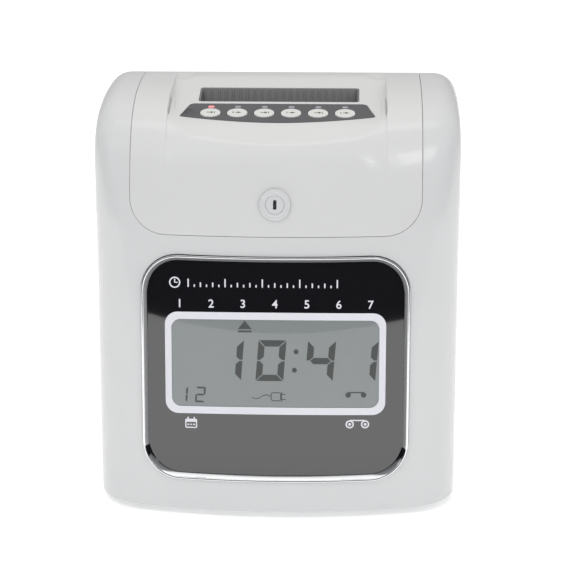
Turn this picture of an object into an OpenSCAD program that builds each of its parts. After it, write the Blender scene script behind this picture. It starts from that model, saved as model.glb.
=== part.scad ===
// Punch time clock: a wall or desk time recorder with a lockable top cover, a card slot,
// six status keys and a large display window. Millimetres. Front faces -Y, +Z is up, and
// the origin is on the resting surface under the middle of the case.

/* [Case] */
// Width of the case
body_w = 200; // [200:1:204]
// Depth of the case, front to back
body_d = 140; // [140:1:142]
// Height of the case, feet included
body_h = 230; // [230:1:231]
// Thickness of the moulded walls
wall = 2.5; // [2.3:0.1:2.7]
// Gap between the case and its cover
seam_gap = 0.45; // [0.4:0.05:0.6]

/* [Cover] */
// Half width of the cover
cover_half_w = 78.6; // [77:0.2:79.4]
// Height of the cover's bottom edge
cover_z = 157.4; // [157:0.2:159]
// Radius of the cover's lower corners
cover_corner_r = 19; // [14:1:22]
// Slope of the sunk key and slot panel, in degrees
dish_slope = 13.5; // [13:0.1:14]

/* [Display] */
// Width of the chrome trim round the window
trim_w = 146; // [144:0.5:146.5]
// Height of the chrome trim round the window
trim_h = 125.5; // [124:0.5:126]
// Corner radius of the trim
trim_r = 21; // [19:1:23]
// Width of the opening for the liquid crystal display
lcd_w = 113; // [108:1:114]
// Height of the opening for the liquid crystal display
lcd_h = 48.8; // [46:0.4:50]

/* [Keys] */
// Distance from one status key to the next
key_pitch = 14.7; // [14.5:0.1:14.9]
// Diameter of a status key
key_d = 11.2; // [10.6:0.1:11.4]
// Travel of a status key
key_travel = 0.9; // [0.6:0.1:0.9]

/* [Card path] */
// Width of the card slot
card_w = 88; // [86:1:89]
// Depth of the gap that the card runs in
card_gap = 5; // [4.8:0.1:5.2]
// Height of the stop that the card lands on
card_stop_z = 60; // [56:1:62]

/* [Hidden] */
$fn = 64;
half_w = body_w / 2;
trim_proud = 1.4;              // the chrome trim stands out of the front by this much
front_y = -body_d / 2;
rear_y = body_d / 2 + trim_proud;
foot_h = 4;                    // the case's lower edge stands this far above the desk
lean = 2.93;                   // the front leans back by this angle
lean_z = 20;                   // height at which the lean starts
face_r = 290.8;                // bulge of the front, seen from above
corner_r = 32;                 // upright front corners, seen from above
corner_x = half_w - corner_r;
corner_y = face_r - sqrt(pow(face_r - corner_r, 2) - pow(corner_x, 2));
corner_a = asin(corner_x / (face_r - corner_r));
rear_corner_r = 9;
shoulder_r = 13;               // rounding of the top at its left and right edges
rear_top_r = 28;
side_taper = 0.65;             // how much narrower each side is at the bottom

// Cover hinge: the cover's rear edge is a barrel on this axis
hinge_y = rear_y - 3.2;
hinge_z = 209;
hinge_r = 3.2;
hinge_pin_r = 1.5;
fit = 0.05;                    // radial running clearance

// Lock, on the upright part of the cover
lock_z = 175;
lock_y = -61;
lock_tilt = 9.8;
lock_flange_r = 8.4;
lock_body_r = 7.5;
lock_plug_r = 5;
lock_len = 11.5;
cam_reach = 23;
cam_gap = 0.57;                // between the turned cam and its catch

// Sunk panel: origin of its own frame at the front edge of the key label
dish_y = -34;
dish_z = 214.6;
dish_half = 54;
key_row = 12.55;
led_row = 21.2;
label_rear = 25.4;
label_half = 53;
label_front_r = 186;           // curve of the label's front edge
label_slant = 13.6;            // slope of the label's ends
label_t = 0.5;
slot_front = 29.4;
slot_rear = 47.7;
board_drop = 9.5;              // top of the key board below the panel
switch_h = 3.45;
post_x = 46;                   // posts for the key board's screws
post_y = [3.5, 20];
key_stem = board_drop - switch_h - 0.35 - key_travel;

// Window, in the frame of the leaning front
trim_z = 64.3;
lcd_z = 68.65;
lens_top = 2.5;                // the lens lies this far behind the front surface
lens_t = 2;
lcd_depth = 11.4;

// Mechanism
plate_x = 66;
plate_t = 1.5;
card_y = 4;                    // middle of the card path
guide_t = 1.2;
feed_z = 82;
feed_roller_r = 7;
feed_shaft_r = 3;
feed_y = card_y - 0.3 - feed_roller_r;
pinch_roller_r = 6;
pinch_shaft_r = 2;
pinch_y = card_y + 0.3 + pinch_roller_r;
gear_teeth = 36;
pinion_teeth = 12;
gear_module = 1;
gear_x = -73;
gear_t = 4;
mesh_a = 210;                  // direction from the feed gear to its pinion
pinion_y = feed_y + (gear_teeth + pinion_teeth) / 2 * gear_module * cos(mesh_a);
pinion_z = feed_z + (gear_teeth + pinion_teeth) / 2 * gear_module * sin(mesh_a);
rod_y = -24;
rod_z = 144;
rod_r = 3;
rod2_y = -30;
rod2_z = 155;
rod2_r = 2;
pulley_x = 50;
pulley_z = 166;
pulley_r = 6;
belt_y = -44.5;
belt_w = 5;
belt_t = 1.2;
print_z = 150;
platen_h = 12;

// Openings and screws of the case
screw_r = 1.45;
rear_open_w = 172;
rear_open_z0 = 14;
rear_open_z1 = 194;
rear_screw_x = 80;
rear_screw_z = [20, 188];
tray_screw_x = 88;
tray_screw_y = [-18, 56];
frame_screw_x = 56;            // screws that hold the steel frame to the tray
frame_screw_y = [-30, 38];
foot_x = 70;
foot_y = [-36, 50];
keyhole_x = 55;
keyhole_z = 150;
inlet_x = -58;
inlet_z = 34;
lcd_screw_x = 78.4;
lcd_screw_z = [54, 83];
lcd_ear_y = 15.6;
lcd_tabs = [for (x = [-58, 58], z = [-27, 27]) [x, z]];  // screws of the display board
lcd_ears = [for (x = [-lcd_screw_x, lcd_screw_x], z = lcd_screw_z) [x, z]];

// Steel frame
chassis_y0 = -38;
chassis_y1 = 46;
chassis_top = 198;
floor_z = foot_h + 3.5;
guide_top = 203;
plate_y = -38.4;

// Ribbon, main board and the cable between the key board and the main board
cart_z = 180.05;
knob_x = -40;
board_y = 52;
board_z = [62, 190];
board_holes = [for (x = [-58, 58], z = [68, 184]) [x, z]];
cable_x = 51.4;
cable_t = 0.4;
cable_w = 6.4;
cable_route = [[-15, 202.2], [-8, 201], [4, 200], [18, 201], [34, 204], [48, 205], [57, 202.5], [61, 197],
    [60.5, 188], [57.5, 179], [56, 174.3]];

function bez(p0, p1, p2, p3, t) =
    pow(1 - t, 3) * p0 + 3 * t * pow(1 - t, 2) * p1 + 3 * t * t * (1 - t) * p2 + pow(t, 3) * p3;
function arc(x, y, r, a0, a1, n) = [for (i = [0 : n]) let (a = a0 + (a1 - a0) * i / n)
    [x + r * cos(a), y + r * sin(a)]];
function rr_pts(w, h, r, n = 8) = concat(
    arc(w / 2 - r, h / 2 - r, r, 0, 90, n), arc(r - w / 2, h / 2 - r, r, 90, 180, n),
    arc(r - w / 2, r - h / 2, r, 180, 270, n), arc(w / 2 - r, r - h / 2, r, 270, 360, n));
function gear_pts(n, m) = [for (i = [0 : n - 1]) let (r = n * m / 2, t = 57.3 / r)
    each [for (q = [[-0.95, -1.1], [-0.34, 0.8], [0.34, 0.8], [0.95, -1.1]])
        let (a = i * 360 / n + q[0] * t, d = r + q[1] * m) [d * cos(a), d * sin(a)]]];

// Frames of reference
module on_face() translate([0, front_y, lean_z]) rotate([-lean, 0, 0]) children();
module on_dish() translate([0, dish_y, dish_z]) rotate([dish_slope, 0, 0]) children();
module on_lock() translate([0, lock_y, lock_z]) rotate([90 - lock_tilt, 0, 0]) children();
// Extrudes a side view, drawn as (y, z), over a width centred on x = 0
module across(w) translate([-w / 2, 0, 0]) rotate([90, 0, 90]) linear_extrude(w) children();
module across_plate(x0, x1) translate([x0, 0, 0]) rotate([90, 0, 90]) linear_extrude(x1 - x0) children();
// Extrudes a front view, drawn as (x, z), from y0 to y1
module through(y0, y1) translate([0, y1, 0]) rotate([90, 0, 0]) linear_extrude(y1 - y0) children();
module rod_x(x0, x1, y, z, r) translate([x0, y, z]) rotate([0, 90, 0]) cylinder(r = r, h = x1 - x0);
module rod_y_at(x, z, y0, y1, r) translate([x, y0, z]) rotate([-90, 0, 0]) cylinder(r = r, h = y1 - y0);
module box(x0, x1, y0, y1, z0, z1) translate([x0, y0, z0]) cube([x1 - x0, y1 - y0, z1 - z0]);
module both_sides() for (s = [0, 1]) mirror([s, 0, 0]) children();

// ---- Case form ----
// Half of the front's outline seen from above, from the middle to the side wall
front_half = concat(
    arc(0, face_r, face_r, -90, -90 + corner_a, 10),
    [for (i = [1 : 10]) let (a = (corner_a - 90) * (1 - i / 10)) [corner_x + corner_r * cos(a),
        corner_y + corner_r * sin(a)]]);

// The outline from above, inset by o
module plan_form(o) offset(delta = -o) polygon(concat(
    front_half, [[half_w, 3 * body_d], [-half_w, 3 * body_d]],
    [for (i = [len(front_half) - 1 : -1 : 1]) [-front_half[i][0], front_half[i][1]]]));

// The bulge alone, wider than the case, with its depth multiplied by k
module bulge_form(o, k) offset(delta = -o) polygon(concat(
    [for (p = arc(0, face_r, face_r, -111, -69, 24)) [p[0], k * p[1]]],
    [[face_r * cos(69), 3 * body_d], [-face_r * cos(69), 3 * body_d]]));

// Side view of the top's front edge, from the lock back to the flat top
crest = [[lock_y, lock_z], [-53, 221.3], [-30, body_h], [36, body_h]];
function crest_at(t) = bez(crest[0], crest[1], crest[2], crest[3], t);
function crest_tilt(t) = let (d = crest_at(t + 0.01) - crest_at(t - 0.01)) atan2(d[0], d[1]);

module side_form() {
    polygon(concat(
        [[front_y, foot_h], [front_y, 110], [-62.5, 166.2]],
        [for (i = [0 : 14]) crest_at(i / 14)],
        arc(rear_y - rear_top_r, body_h - rear_top_r, rear_top_r, 90, 0, 8),
        [[rear_y, foot_h]]));
}

module front_form() {
    x = half_w + 0.4;
    right = concat([[half_w - side_taper, foot_h - 1], [x, body_h - shoulder_r - 16]],
        arc(x - shoulder_r, body_h - shoulder_r + 0.05, shoulder_r, 0, 90, 9));
    polygon(concat(right, [for (i = [len(right) - 1 : -1 : 0]) [-right[i][0], right[i][1]]]));
}

module rear_form() {
    polygon(concat(
        [[-half_w - 5, front_y - 5]], [[half_w + 5, front_y - 5], [half_w + 5, rear_y - rear_corner_r - 5]],
        [[half_w, rear_y - rear_corner_r]],
        arc(half_w - rear_corner_r, rear_y - rear_corner_r, rear_corner_r, 9, 90, 7),
        arc(rear_corner_r - half_w, rear_y - rear_corner_r, rear_corner_r, 90, 171, 7),
        [[-half_w, rear_y - rear_corner_r], [-half_w - 5, rear_y - rear_corner_r - 5]]));
}

module case_solid(o) intersection() {
    on_face() translate([0, 0, -60]) linear_extrude(340) plan_form(o);
    // the bulge follows the crest back over the top
    intersection_for (t = [0.08, 0.16, 0.24, 0.32, 0.4, 0.48]) translate([0, crest_at(t)[0], crest_at(t)[1]])
        rotate([-crest_tilt(t), 0, 0]) translate([0, 0, -200]) linear_extrude(400)
            bulge_form(o, cos(crest_tilt(t)));
    across(3 * half_w) offset(delta = -o) side_form();
    through(-2 * body_d, 2 * body_d) offset(delta = -o) front_form();
    translate([0, 0, -20]) linear_extrude(body_h + 40) offset(delta = -o) rear_form();
}

// The sunk panel: everything above its floor, between its sloping side walls
module dish_cut(drop, grow) on_dish() translate([0, 0, -drop]) {
    translate([0, 95, 0]) rotate([90, 0, 0]) linear_extrude(140)
        polygon([[-dish_half - grow, 0], [dish_half + grow, 0], [dish_half + 8 + grow, 7],
            [dish_half + 8 + grow, 30], [-dish_half - 8 - grow, 30], [-dish_half - 8 - grow, 7]]);
    translate([0, -4.5, -1.1]) rotate([17, 0, 0]) translate([0, 3.8, 0]) rotate([90, 0, 0]) linear_extrude(40)
        polygon([[-dish_half - grow, 0], [dish_half + grow, 0], [dish_half + 8 + grow, 7],
            [dish_half + 8 + grow, 40], [-dish_half - 8 - grow, 40], [-dish_half - 8 - grow, 7]]);
}

// The part of the case that belongs to the cover
module cover_zone(gap, rear_z) difference() {
    translate([0, 0, cover_z - gap]) through(-120, 120)
        polygon(concat(
            arc(cover_half_w - cover_corner_r, cover_corner_r + gap, cover_corner_r + gap, -90, 0, 9),
            [[cover_half_w + gap, 120], [-cover_half_w - gap, 120]],
            arc(cover_corner_r - cover_half_w, cover_corner_r + gap, cover_corner_r + gap, 180, 270, 9)));
    box(-half_w, half_w, 20, 130, cover_z - 20, rear_z);
}

module face_plate(front, back, w, h, r, z) on_face() intersection() {
    translate([0, face_r, z - h / 2 - 1]) difference() {
        cylinder(r = face_r - front, h = h + 2, $fn = 360);
        translate([0, 0, -1]) cylinder(r = face_r - back, h = h + 4, $fn = 360);
    }
    translate([0, 0, z]) through(-20, 60) polygon(rr_pts(w, h, r));
}

module face_hole(w, h, r, z, y0 = -20, y1 = 30) on_face() translate([0, 0, z])
    through(y0, y1) polygon(rr_pts(w, h, r));

// ---- Housing, tray and rear cover ----

module housing() color("whitesmoke") union() {
    housing_shell();
    // catch for the lock's cam
    catch_y = lock_y + (lock_len + 1.2) * cos(lock_tilt) - cam_reach * sin(lock_tilt) - cam_gap;
    box(-9, 9, -62, catch_y, 151.4, 153.2);
    box(-9, 9, catch_y - 2, catch_y, 143, 153.2);
}

module housing_shell() difference() {
    union() {
        difference() {
            case_solid(0);
            case_solid(wall);
            box(-half_w + 5, half_w - 5, front_y + 45, rear_y - 5, 0, foot_h + wall + 1);
            translate([0, 0, foot_h - 1]) linear_extrude(wall + 2) offset(delta = -wall)
                intersection() {
                    translate([0, front_y]) plan_form(0);
                    rear_form();
                }
        }
        // blocks for the rear and bottom screws, joined to the side walls
        both_sides() {
            for (z = rear_screw_z)
                box(75.5, half_w - 1.2, rear_y - wall - 11, rear_y - wall - 0.05, z - 5, z + 5);
            for (y = tray_screw_y) box(83, half_w - 1.2, y - 5, y + 5, foot_h + 3.55, foot_h + 14);
            intersection() {
                on_face() for (z = lcd_screw_z) translate([lcd_screw_x, 0, z]) rotate([-90, 0, 0])
                    translate([0, 0, 8]) cylinder(r = 2.5, h = lcd_ear_y - 8.05);
                case_solid(wall / 2);
            }
            // hinge lugs
            rod_x(62, 72, hinge_y, hinge_z, hinge_r);
            box(62, 72, hinge_y - hinge_r, hinge_y + 1, hinge_z - 14, hinge_z);
        }
    }
    cover_zone(seam_gap, hinge_z - 3.75);
    face_hole(trim_w + 0.3, trim_h + 0.3, trim_r + 0.15, trim_z, -20, 20);
    translate([0, 0, (rear_open_z0 + rear_open_z1) / 2]) through(rear_y - wall - 1, rear_y + 5)
        polygon(rr_pts(rear_open_w, rear_open_z1 - rear_open_z0, 4, 4));
    both_sides() {
        for (z = rear_screw_z) rod_y_at(rear_screw_x, z, rear_y - wall - 9, rear_y, screw_r + fit);
        for (y = tray_screw_y) translate([tray_screw_x, y, foot_h]) cylinder(r = screw_r + fit, h = 12);
        on_face() for (z = lcd_screw_z) translate([lcd_screw_x, 0, z]) rotate([-90, 0, 0])
            translate([0, 0, lcd_ear_y - 3]) cylinder(r = 1, h = 5);
    }
    rod_x(-73, 73, hinge_y, hinge_z, hinge_pin_r + 0.02);
}

module keyhole(x, z) {
    rod_y_at(x, z, rear_y - 10, rear_y + 5, 4.5);
    rod_y_at(x, z + 9, rear_y - 10, rear_y + 5, 2.4);
    box(x - 2.4, x + 2.4, rear_y - 10, rear_y + 5, z, z + 9);
}

module rear_cover() color("gainsboro") difference() {
    translate([0, 0, (rear_open_z0 + rear_open_z1) / 2]) through(rear_y - wall, rear_y)
        polygon(rr_pts(rear_open_w - 0.6, rear_open_z1 - rear_open_z0 - 0.6, 3.7, 4));
    both_sides() {
        keyhole(keyhole_x, keyhole_z);
        for (z = rear_screw_z) {
            rod_y_at(rear_screw_x, z, rear_y - 10, rear_y + 5, 1.7);
            rod_y_at(rear_screw_x, z, rear_y - 1.8, rear_y + 5, 3.2);
        }
        for (i = [0 : 7]) box(14, 40, rear_y - 10, rear_y + 5, 92 + i * 7, 95 + i * 7);
    }
    box(inlet_x - 12.2, inlet_x + 12.2, rear_y - 10, rear_y + 5, inlet_z - 7.2, inlet_z + 7.2);
}

module base_tray() color("lightgray") difference() {
    union() {
        translate([0, 0, foot_h + 1]) linear_extrude(2.5) offset(delta = -wall - 1.2) intersection() {
            translate([0, front_y]) plan_form(0);
            rear_form();
        }
        both_sides() for (y = foot_y) translate([foot_x, y, foot_h + 1]) cylinder(r = 9, h = 2.5);
    }
    both_sides() {
        for (y = foot_y) translate([foot_x, y, 0]) cylinder(r = 3.05, h = 20);
        for (y = tray_screw_y) translate([tray_screw_x, y, 0]) cylinder(r = 1.7, h = 20);
        for (y = frame_screw_y) translate([frame_screw_x, y, 0]) cylinder(r = 1.7, h = 20);
    }
    for (i = [-4 : 4]) box(i * 9 - 2, i * 9 + 2, -10, 24, 0, 20);
}

module rubber_feet() color("dimgray") both_sides() for (y = foot_y) translate([foot_x, y, 0]) {
    cylinder(r1 = 6.6, r2 = 7.4, h = foot_h + 0.98);
    translate([0, 0, foot_h]) cylinder(r = 3, h = 3.4);
}

// ---- Cover and lock ----
module top_cover() color("white") difference() {
    union() {
        intersection() {
            difference() {
                case_solid(0);
                difference() {
                    case_solid(wall);
                    dish_cut(wall, wall);
                }
            }
            cover_zone(0, hinge_z + 0.3);
        }
        rod_x(-60, 60, hinge_y, hinge_z, hinge_r);
        // posts for the key board's screws
        on_dish() for (x = [-post_x, post_x], y = post_y) translate([x, y, -board_drop + 0.02])
            cylinder(r = 2.6, h = board_drop - 1.5);
    }
    dish_cut(0, 0);
    // clearance round the hinge lugs
    both_sides() rod_x(60.5, 73, hinge_y, hinge_z, hinge_r + 0.6);
    rod_x(-61, 61, hinge_y, hinge_z, hinge_pin_r + fit);
    on_lock() translate([0, 0, -20]) cylinder(r = lock_body_r + 0.1, h = 40);
    on_dish() {
        for (i = [0 : 5]) translate([(i - 2.5) * key_pitch, key_row, -10])
            cylinder(r = key_d / 2 + 0.3, h = 20);
        for (i = [0 : 5]) translate([(i - 2.5) * key_pitch - 1.9, led_row - 1, -10]) cube([3.8, 2, 20]);
        translate([-card_w / 2 - 1.6, slot_front - 1.6, -10])
            cube([card_w + 3.2, slot_rear - slot_front + 3.2, 20]);
        for (x = [-post_x, post_x], y = post_y) translate([x, y, -board_drop - 1]) cylinder(r = 1.05, h = 6);
        translate([0, 0, -label_t]) linear_extrude(3) offset(delta = 0.15) label_form();
    }
}

module hinge_pins() color("silver") both_sides() rod_x(46, 72, hinge_y, hinge_z, hinge_pin_r);

module lock_barrel() color("gainsboro") on_lock() difference() {
    union() {
        translate([0, 0, 0.25]) cylinder(r1 = lock_flange_r, r2 = lock_flange_r - 0.5, h = 1);
        translate([0, 0, -lock_len]) cylinder(r = lock_body_r, h = lock_len + 0.5);
    }
    translate([0, 0, -20]) cylinder(r = lock_plug_r + fit, h = 30);
}

module lock_plug() color("silver") on_lock() difference() {
    union() {
        translate([0, 0, -lock_len - 1]) cylinder(r = lock_plug_r, h = lock_len + 1.7);
        translate([-2.2, -2.2, -lock_len - 3.4]) cube([4.4, 4.4, 3]);
    }
    translate([-0.9, -2.6, -8]) cube([1.8, 5.2, 10]);
}

module lock_cam() color("darkgray") on_lock() translate([0, 0, -lock_len - 3]) difference() {
    linear_extrude(1.8) union() {
        circle(r = 6);
        translate([-cam_reach, -4]) square([cam_reach, 8]);
    }
    translate([-2.25, -2.25, -1]) cube([4.5, 4.5, 5]);
}

module lock_nut() color("silver") on_lock() translate([0, 0, -8]) difference() {
    cylinder(r = 11, h = 3.2, $fn = 6);
    translate([0, 0, -1]) cylinder(r = lock_body_r + fit, h = 6);
}

module card_mouth() color("black") difference() {
    union() {
        on_dish() translate([-card_w / 2 - 1.5, slot_front - 1.5, -2.5])
            cube([card_w + 3, slot_rear - slot_front + 3, 2.1]);
        across(card_w + 3) polygon([[-5.6, 219.6], [-1.4, 206], [9.4, 206], [12.8, 224]]);
    }
    across(card_w) polygon([[-8.9, 229], [-4.5, 219.2], [0.9, 205], [7.1, 205], [11.9, 222.8], [10.4, 234]]);
}

// ---- Status keys ----
module label_form() let (sweep = asin((label_half - 1) / (label_front_r - 1)),
        corner_y = label_front_r - (label_front_r - 1) * cos(sweep)) polygon(concat(
    arc(0, label_front_r, label_front_r, -90 - sweep, -90 + sweep, 12),
    arc(label_half - 1, corner_y, 1, sweep - 90, label_slant, 3),
    arc(label_half - 7, label_rear - 3, 3, label_slant, 90, 4),
    arc(7 - label_half, label_rear - 3, 3, 90, 180 - label_slant, 4),
    arc(1 - label_half, corner_y, 1, 180 - label_slant, 270 - sweep, 3)));

module key_label() color("dimgray") on_dish() difference() {
    translate([0, 0, -label_t + 0.02]) linear_extrude(label_t) label_form();
    for (i = [0 : 5]) translate([(i - 2.5) * key_pitch, 0, -2]) {
        translate([0, key_row, 0]) cylinder(r = key_d / 2 + 0.3, h = 5);
        translate([-1.9, led_row - 1, 0]) cube([3.8, 2, 5]);
    }
}

module key(i) color("white") on_dish() translate([(i - 3.5) * key_pitch, key_row, 0]) {
    translate([0, 0, 0.1]) cylinder(r1 = key_d / 2, r2 = key_d / 2 - 0.4, h = 0.4);
    translate([0, 0, -3.4]) cylinder(r = key_d / 2, h = 3.5);
    translate([0, 0, -3.7]) cylinder(r = key_d / 2 + 1, h = 0.8);
    translate([0, 0, -key_stem]) cylinder(r = 2, h = key_stem - 3.3);
}

module key_1() key(1);
module key_2() key(2);
module key_3() key(3);
module key_4() key(4);
module key_5() key(5);
module key_6() key(6);

module key_board() color("darkgreen") on_dish() difference() {
    union() {
        translate([-50, 0.5, -board_drop - 1.6]) cube([106, 24, 1.6]);
        translate([cable_x - 4.5, 10, -board_drop - 5.1]) cube([9, 6, 3.52]);
    }
    for (x = [-post_x, post_x], y = post_y) translate([x, y, -20]) cylinder(r = 1.3, h = 20);
}

module key_switches() color("#303030") on_dish() for (i = [0 : 5])
    translate([(i - 2.5) * key_pitch, key_row, -board_drop]) {
        translate([-3, -3, 0]) cube([6, 6, 2.8]);
        translate([0, 0, 2.7]) cylinder(r = 1.7, h = switch_h - 2.7);
    }

module led_lens(i) on_dish() translate([(i - 2.5) * key_pitch, led_row, 0]) {
    translate([-1.8, -0.9, -3]) cube([3.6, 1.8, 3.1]);
    translate([-2.6, -1.7, -4]) cube([5.2, 3.4, 1.2]);
}
module led_lenses() color("lavender") for (i = [1 : 5]) led_lens(i);
module led_lens_lit() color("crimson") led_lens(0);

// ---- Display ----
module window_trim() color("silver") difference() {
    union() {
        face_plate(-trim_proud, 2.7, trim_w, trim_h, trim_r, trim_z);
        face_plate(wall + 0.2, 5.2, trim_w + 4.4, trim_h + 6, trim_r + 2.6, trim_z);
    }
    // the bevel falls towards the lens in three steps
    for (i = [0 : 2]) intersection() {
        face_plate(-2, 0.1 + i * 1.3, trim_w, trim_h, trim_r, trim_z);
        face_hole(trim_w - 2.2 - i * 2, trim_h - 2.2 - i * 2, trim_r - 1.1 - i, trim_z);
    }
    face_hole(trim_w - 6.4, trim_h - 6.4, trim_r - 3.2, trim_z);
    face_plate(lens_top, 6, trim_w - 4.6, trim_h - 4.6, trim_r - 2.3, trim_z);
}

module display_lens() color("#15151a") difference() {
    face_plate(lens_top + 0.03, lens_top + lens_t, trim_w - 5, trim_h - 5, trim_r - 2.5, trim_z);
    face_hole(lcd_w, lcd_h, 5, lcd_z);
}

module lcd_shroud() color("black") difference() {
    on_face() intersection() {
        translate([0, 0, lcd_z]) through(0, lcd_depth - 0.1) polygon(rr_pts(lcd_w + 5, lcd_h + 5, 7));
        translate([0, face_r, 0]) cylinder(r = face_r - lens_top - lens_t - 0.1, h = 200, $fn = 360);
    }
    face_hole(lcd_w + 1.4, lcd_h + 1.4, 5.7, lcd_z);
}

module lcd_glass() color("#9aa39a") on_face() translate([0, lcd_depth, lcd_z])
    translate([-59.5, 0, -27.5]) cube([119, 2.4, 55]);

module lcd_frame() color("lightgray") on_face() translate([0, 0, lcd_z]) difference() {
    union() {
        box(-63.5, 63.5, lcd_depth + 0.6, lcd_depth + 6, -31, 31);
        for (z = lcd_screw_z) box(-81.4, 81.4, lcd_ear_y, 17.4, z - lcd_z - 4, z - lcd_z + 4);
    }
    box(-59.6, 59.6, 0, lcd_depth + 2.45, -27.6, 27.6);
    box(-53, 53, 0, 40, -22.5, 22.5);
    for (p = lcd_ears) translate([p[0], 0, p[1] - lcd_z])
        rotate([-90, 0, 0]) cylinder(r = 1.15, h = 30);
    for (p = lcd_tabs) translate([p[0], 14, p[1]]) rotate([-90, 0, 0]) cylinder(r = 1, h = 10);
}

module lcd_board() color("darkgreen") on_face() translate([0, 0, lcd_z]) difference() {
    union() {
        box(-62, 62, 19.5, 21.1, -46, 31);
        box(-20, 20, 21, 26, -44, -38);
        box(-9, 9, 21, 23, -14, 4);
        for (p = lcd_tabs) box(p[0] - 2, p[0] + 2, 17.45, 19.55, p[1] - 3, p[1] + 3);
    }
    for (p = lcd_tabs) translate([p[0], 14, p[1]]) rotate([-90, 0, 0]) cylinder(r = 1.2, h = 10);
}

// ---- Frame and card path ----
module chassis() color("silver") difference() {
    union() {
        box(-plate_x - plate_t, plate_x + plate_t, chassis_y0, chassis_y1, floor_z, floor_z + plate_t);
        both_sides() across_plate(plate_x, plate_x + plate_t)
            polygon([[chassis_y0, floor_z], [chassis_y1, floor_z], [chassis_y1, chassis_top - 14],
                [chassis_y1 - 12, chassis_top], [chassis_y0, chassis_top]]);
    }
    both_sides() {
        rod_x(60, 75, feed_y, feed_z, feed_shaft_r + fit);
        rod_x(60, 75, pinch_y, feed_z, pinch_shaft_r + fit);
        rod_x(60, 75, rod_y, rod_z, rod_r + fit);
        rod_x(60, 75, rod2_y, rod2_z, rod2_r + fit);
        rod_x(60, 75, 28, 110, 14);
        for (z = [36, 166]) rod_x(60, 75, 44 - 8, z, 2);
        for (y = frame_screw_y) translate([frame_screw_x, y, 0]) cylinder(r = screw_r + fit, h = 20);
    }
    // way through for the feed motor's nose
    rod_x(-75, -60, pinion_y, pinion_z, 4.3);
}

module guide_window(x) for (s = [-1, 1]) box(s * x - 10, s * x + 10, -20, 40, feed_z - 8.5, feed_z + 8.5);
module card_guide_front() color("gainsboro") difference() {
    union() {
        box(-card_w / 2 - 2, card_w / 2 + 2, card_y - card_gap / 2 - guide_t, card_y - card_gap / 2,
            card_stop_z, guide_top);
        both_sides() box(card_w / 2 + 0.5, card_w / 2 + 2, card_y - card_gap / 2 - guide_t,
            card_y + card_gap / 2 - 0.2, card_stop_z + 1.5, guide_top);
        both_sides() for (z = [112, 186]) box(card_w / 2 + 1, plate_x, card_y - card_gap / 2 - guide_t,
            card_y - card_gap / 2, z, z + 10);
    }
    guide_window(30);
    box(-41, 41, -5, card_y, print_z - 8, print_z + 8);
}

module card_guide_rear() color("gainsboro") difference() {
    union() {
        box(-card_w / 2 - 2, card_w / 2 + 2, card_y + card_gap / 2, card_y + card_gap / 2 + guide_t,
            card_stop_z - 1.5, guide_top);
        box(-card_w / 2, card_w / 2, card_y - card_gap / 2 + 0.1, card_y + card_gap / 2 + 0.1,
            card_stop_z - 1.5, card_stop_z);
        both_sides() for (z = [112, 186]) box(card_w / 2 + 1, plate_x, card_y + card_gap / 2,
            card_y + card_gap / 2 + guide_t, z, z + 10);
    }
    guide_window(30);
    box(-42, 42, card_y, 20, print_z - platen_h / 2 - 0.2, print_z + platen_h / 2 + 0.2);
}

module platen() color("#2b2b2b") {
    box(-41.8, 41.8, card_y + card_gap / 2 + 0.05, card_y + card_gap / 2 + 3.2,
        print_z - platen_h / 2, print_z + platen_h / 2);
    box(-50, 50, card_y + card_gap / 2 + guide_t + 0.05, card_y + card_gap / 2 + 3.2,
        print_z - platen_h / 2 + 2, print_z + platen_h / 2 - 2);
}

// ---- Card feed ----
module feed_shaft() color("silver") rod_x(-75, 70, feed_y, feed_z, feed_shaft_r);
module feed_rollers() color("#333333") for (x = [-30, 30]) difference() {
    rod_x(x - 7, x + 7, feed_y, feed_z, feed_roller_r);
    rod_x(x - 8, x + 8, feed_y, feed_z, feed_shaft_r + 0.02);
}
module feed_gear() color("ivory") difference() {
    union() {
        translate([gear_x, feed_y, feed_z]) rotate([90, 0, 90]) linear_extrude(gear_t)
            polygon(gear_pts(gear_teeth, gear_module));
        rod_x(gear_x - 1.4, gear_x + gear_t + 0.8, feed_y, feed_z, 5);
    }
    rod_x(-80, -60, feed_y, feed_z, feed_shaft_r + 0.02);
    for (a = [0 : 60 : 300]) rod_x(-80, -60, feed_y + 11 * cos(a), feed_z + 11 * sin(a), 3);
}
module feed_motor() color("darkgray") difference() {
    union() {
        rod_x(-plate_x + 0.05, -plate_x + 22, pinion_y, pinion_z, 13);
        rod_x(-plate_x - 2, -plate_x + 4, pinion_y, pinion_z, 4);
        rod_x(-plate_x + 21, -plate_x + 24, pinion_y, pinion_z, 5);
    }
    rod_x(-80, -plate_x + 12, pinion_y, pinion_z, 1 + fit);
}
module feed_pinion() color("goldenrod") difference() {
    union() {
        translate([gear_x, pinion_y, pinion_z]) rotate([90, 0, 90]) linear_extrude(gear_t)
            rotate(15) polygon(gear_pts(pinion_teeth, gear_module));
        rod_x(gear_x, -plate_x + 11, pinion_y, pinion_z, 1);
    }
}
module pinch_shaft() color("silver") rod_x(-67.4, 67.4, pinch_y, feed_z, pinch_shaft_r);
module pinch_rollers() color("#3c3c3c") for (x = [-30, 30]) difference() {
    rod_x(x - 7, x + 7, pinch_y, feed_z, pinch_roller_r);
    rod_x(x - 8, x + 8, pinch_y, feed_z, pinch_shaft_r + 0.02);
}

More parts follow.
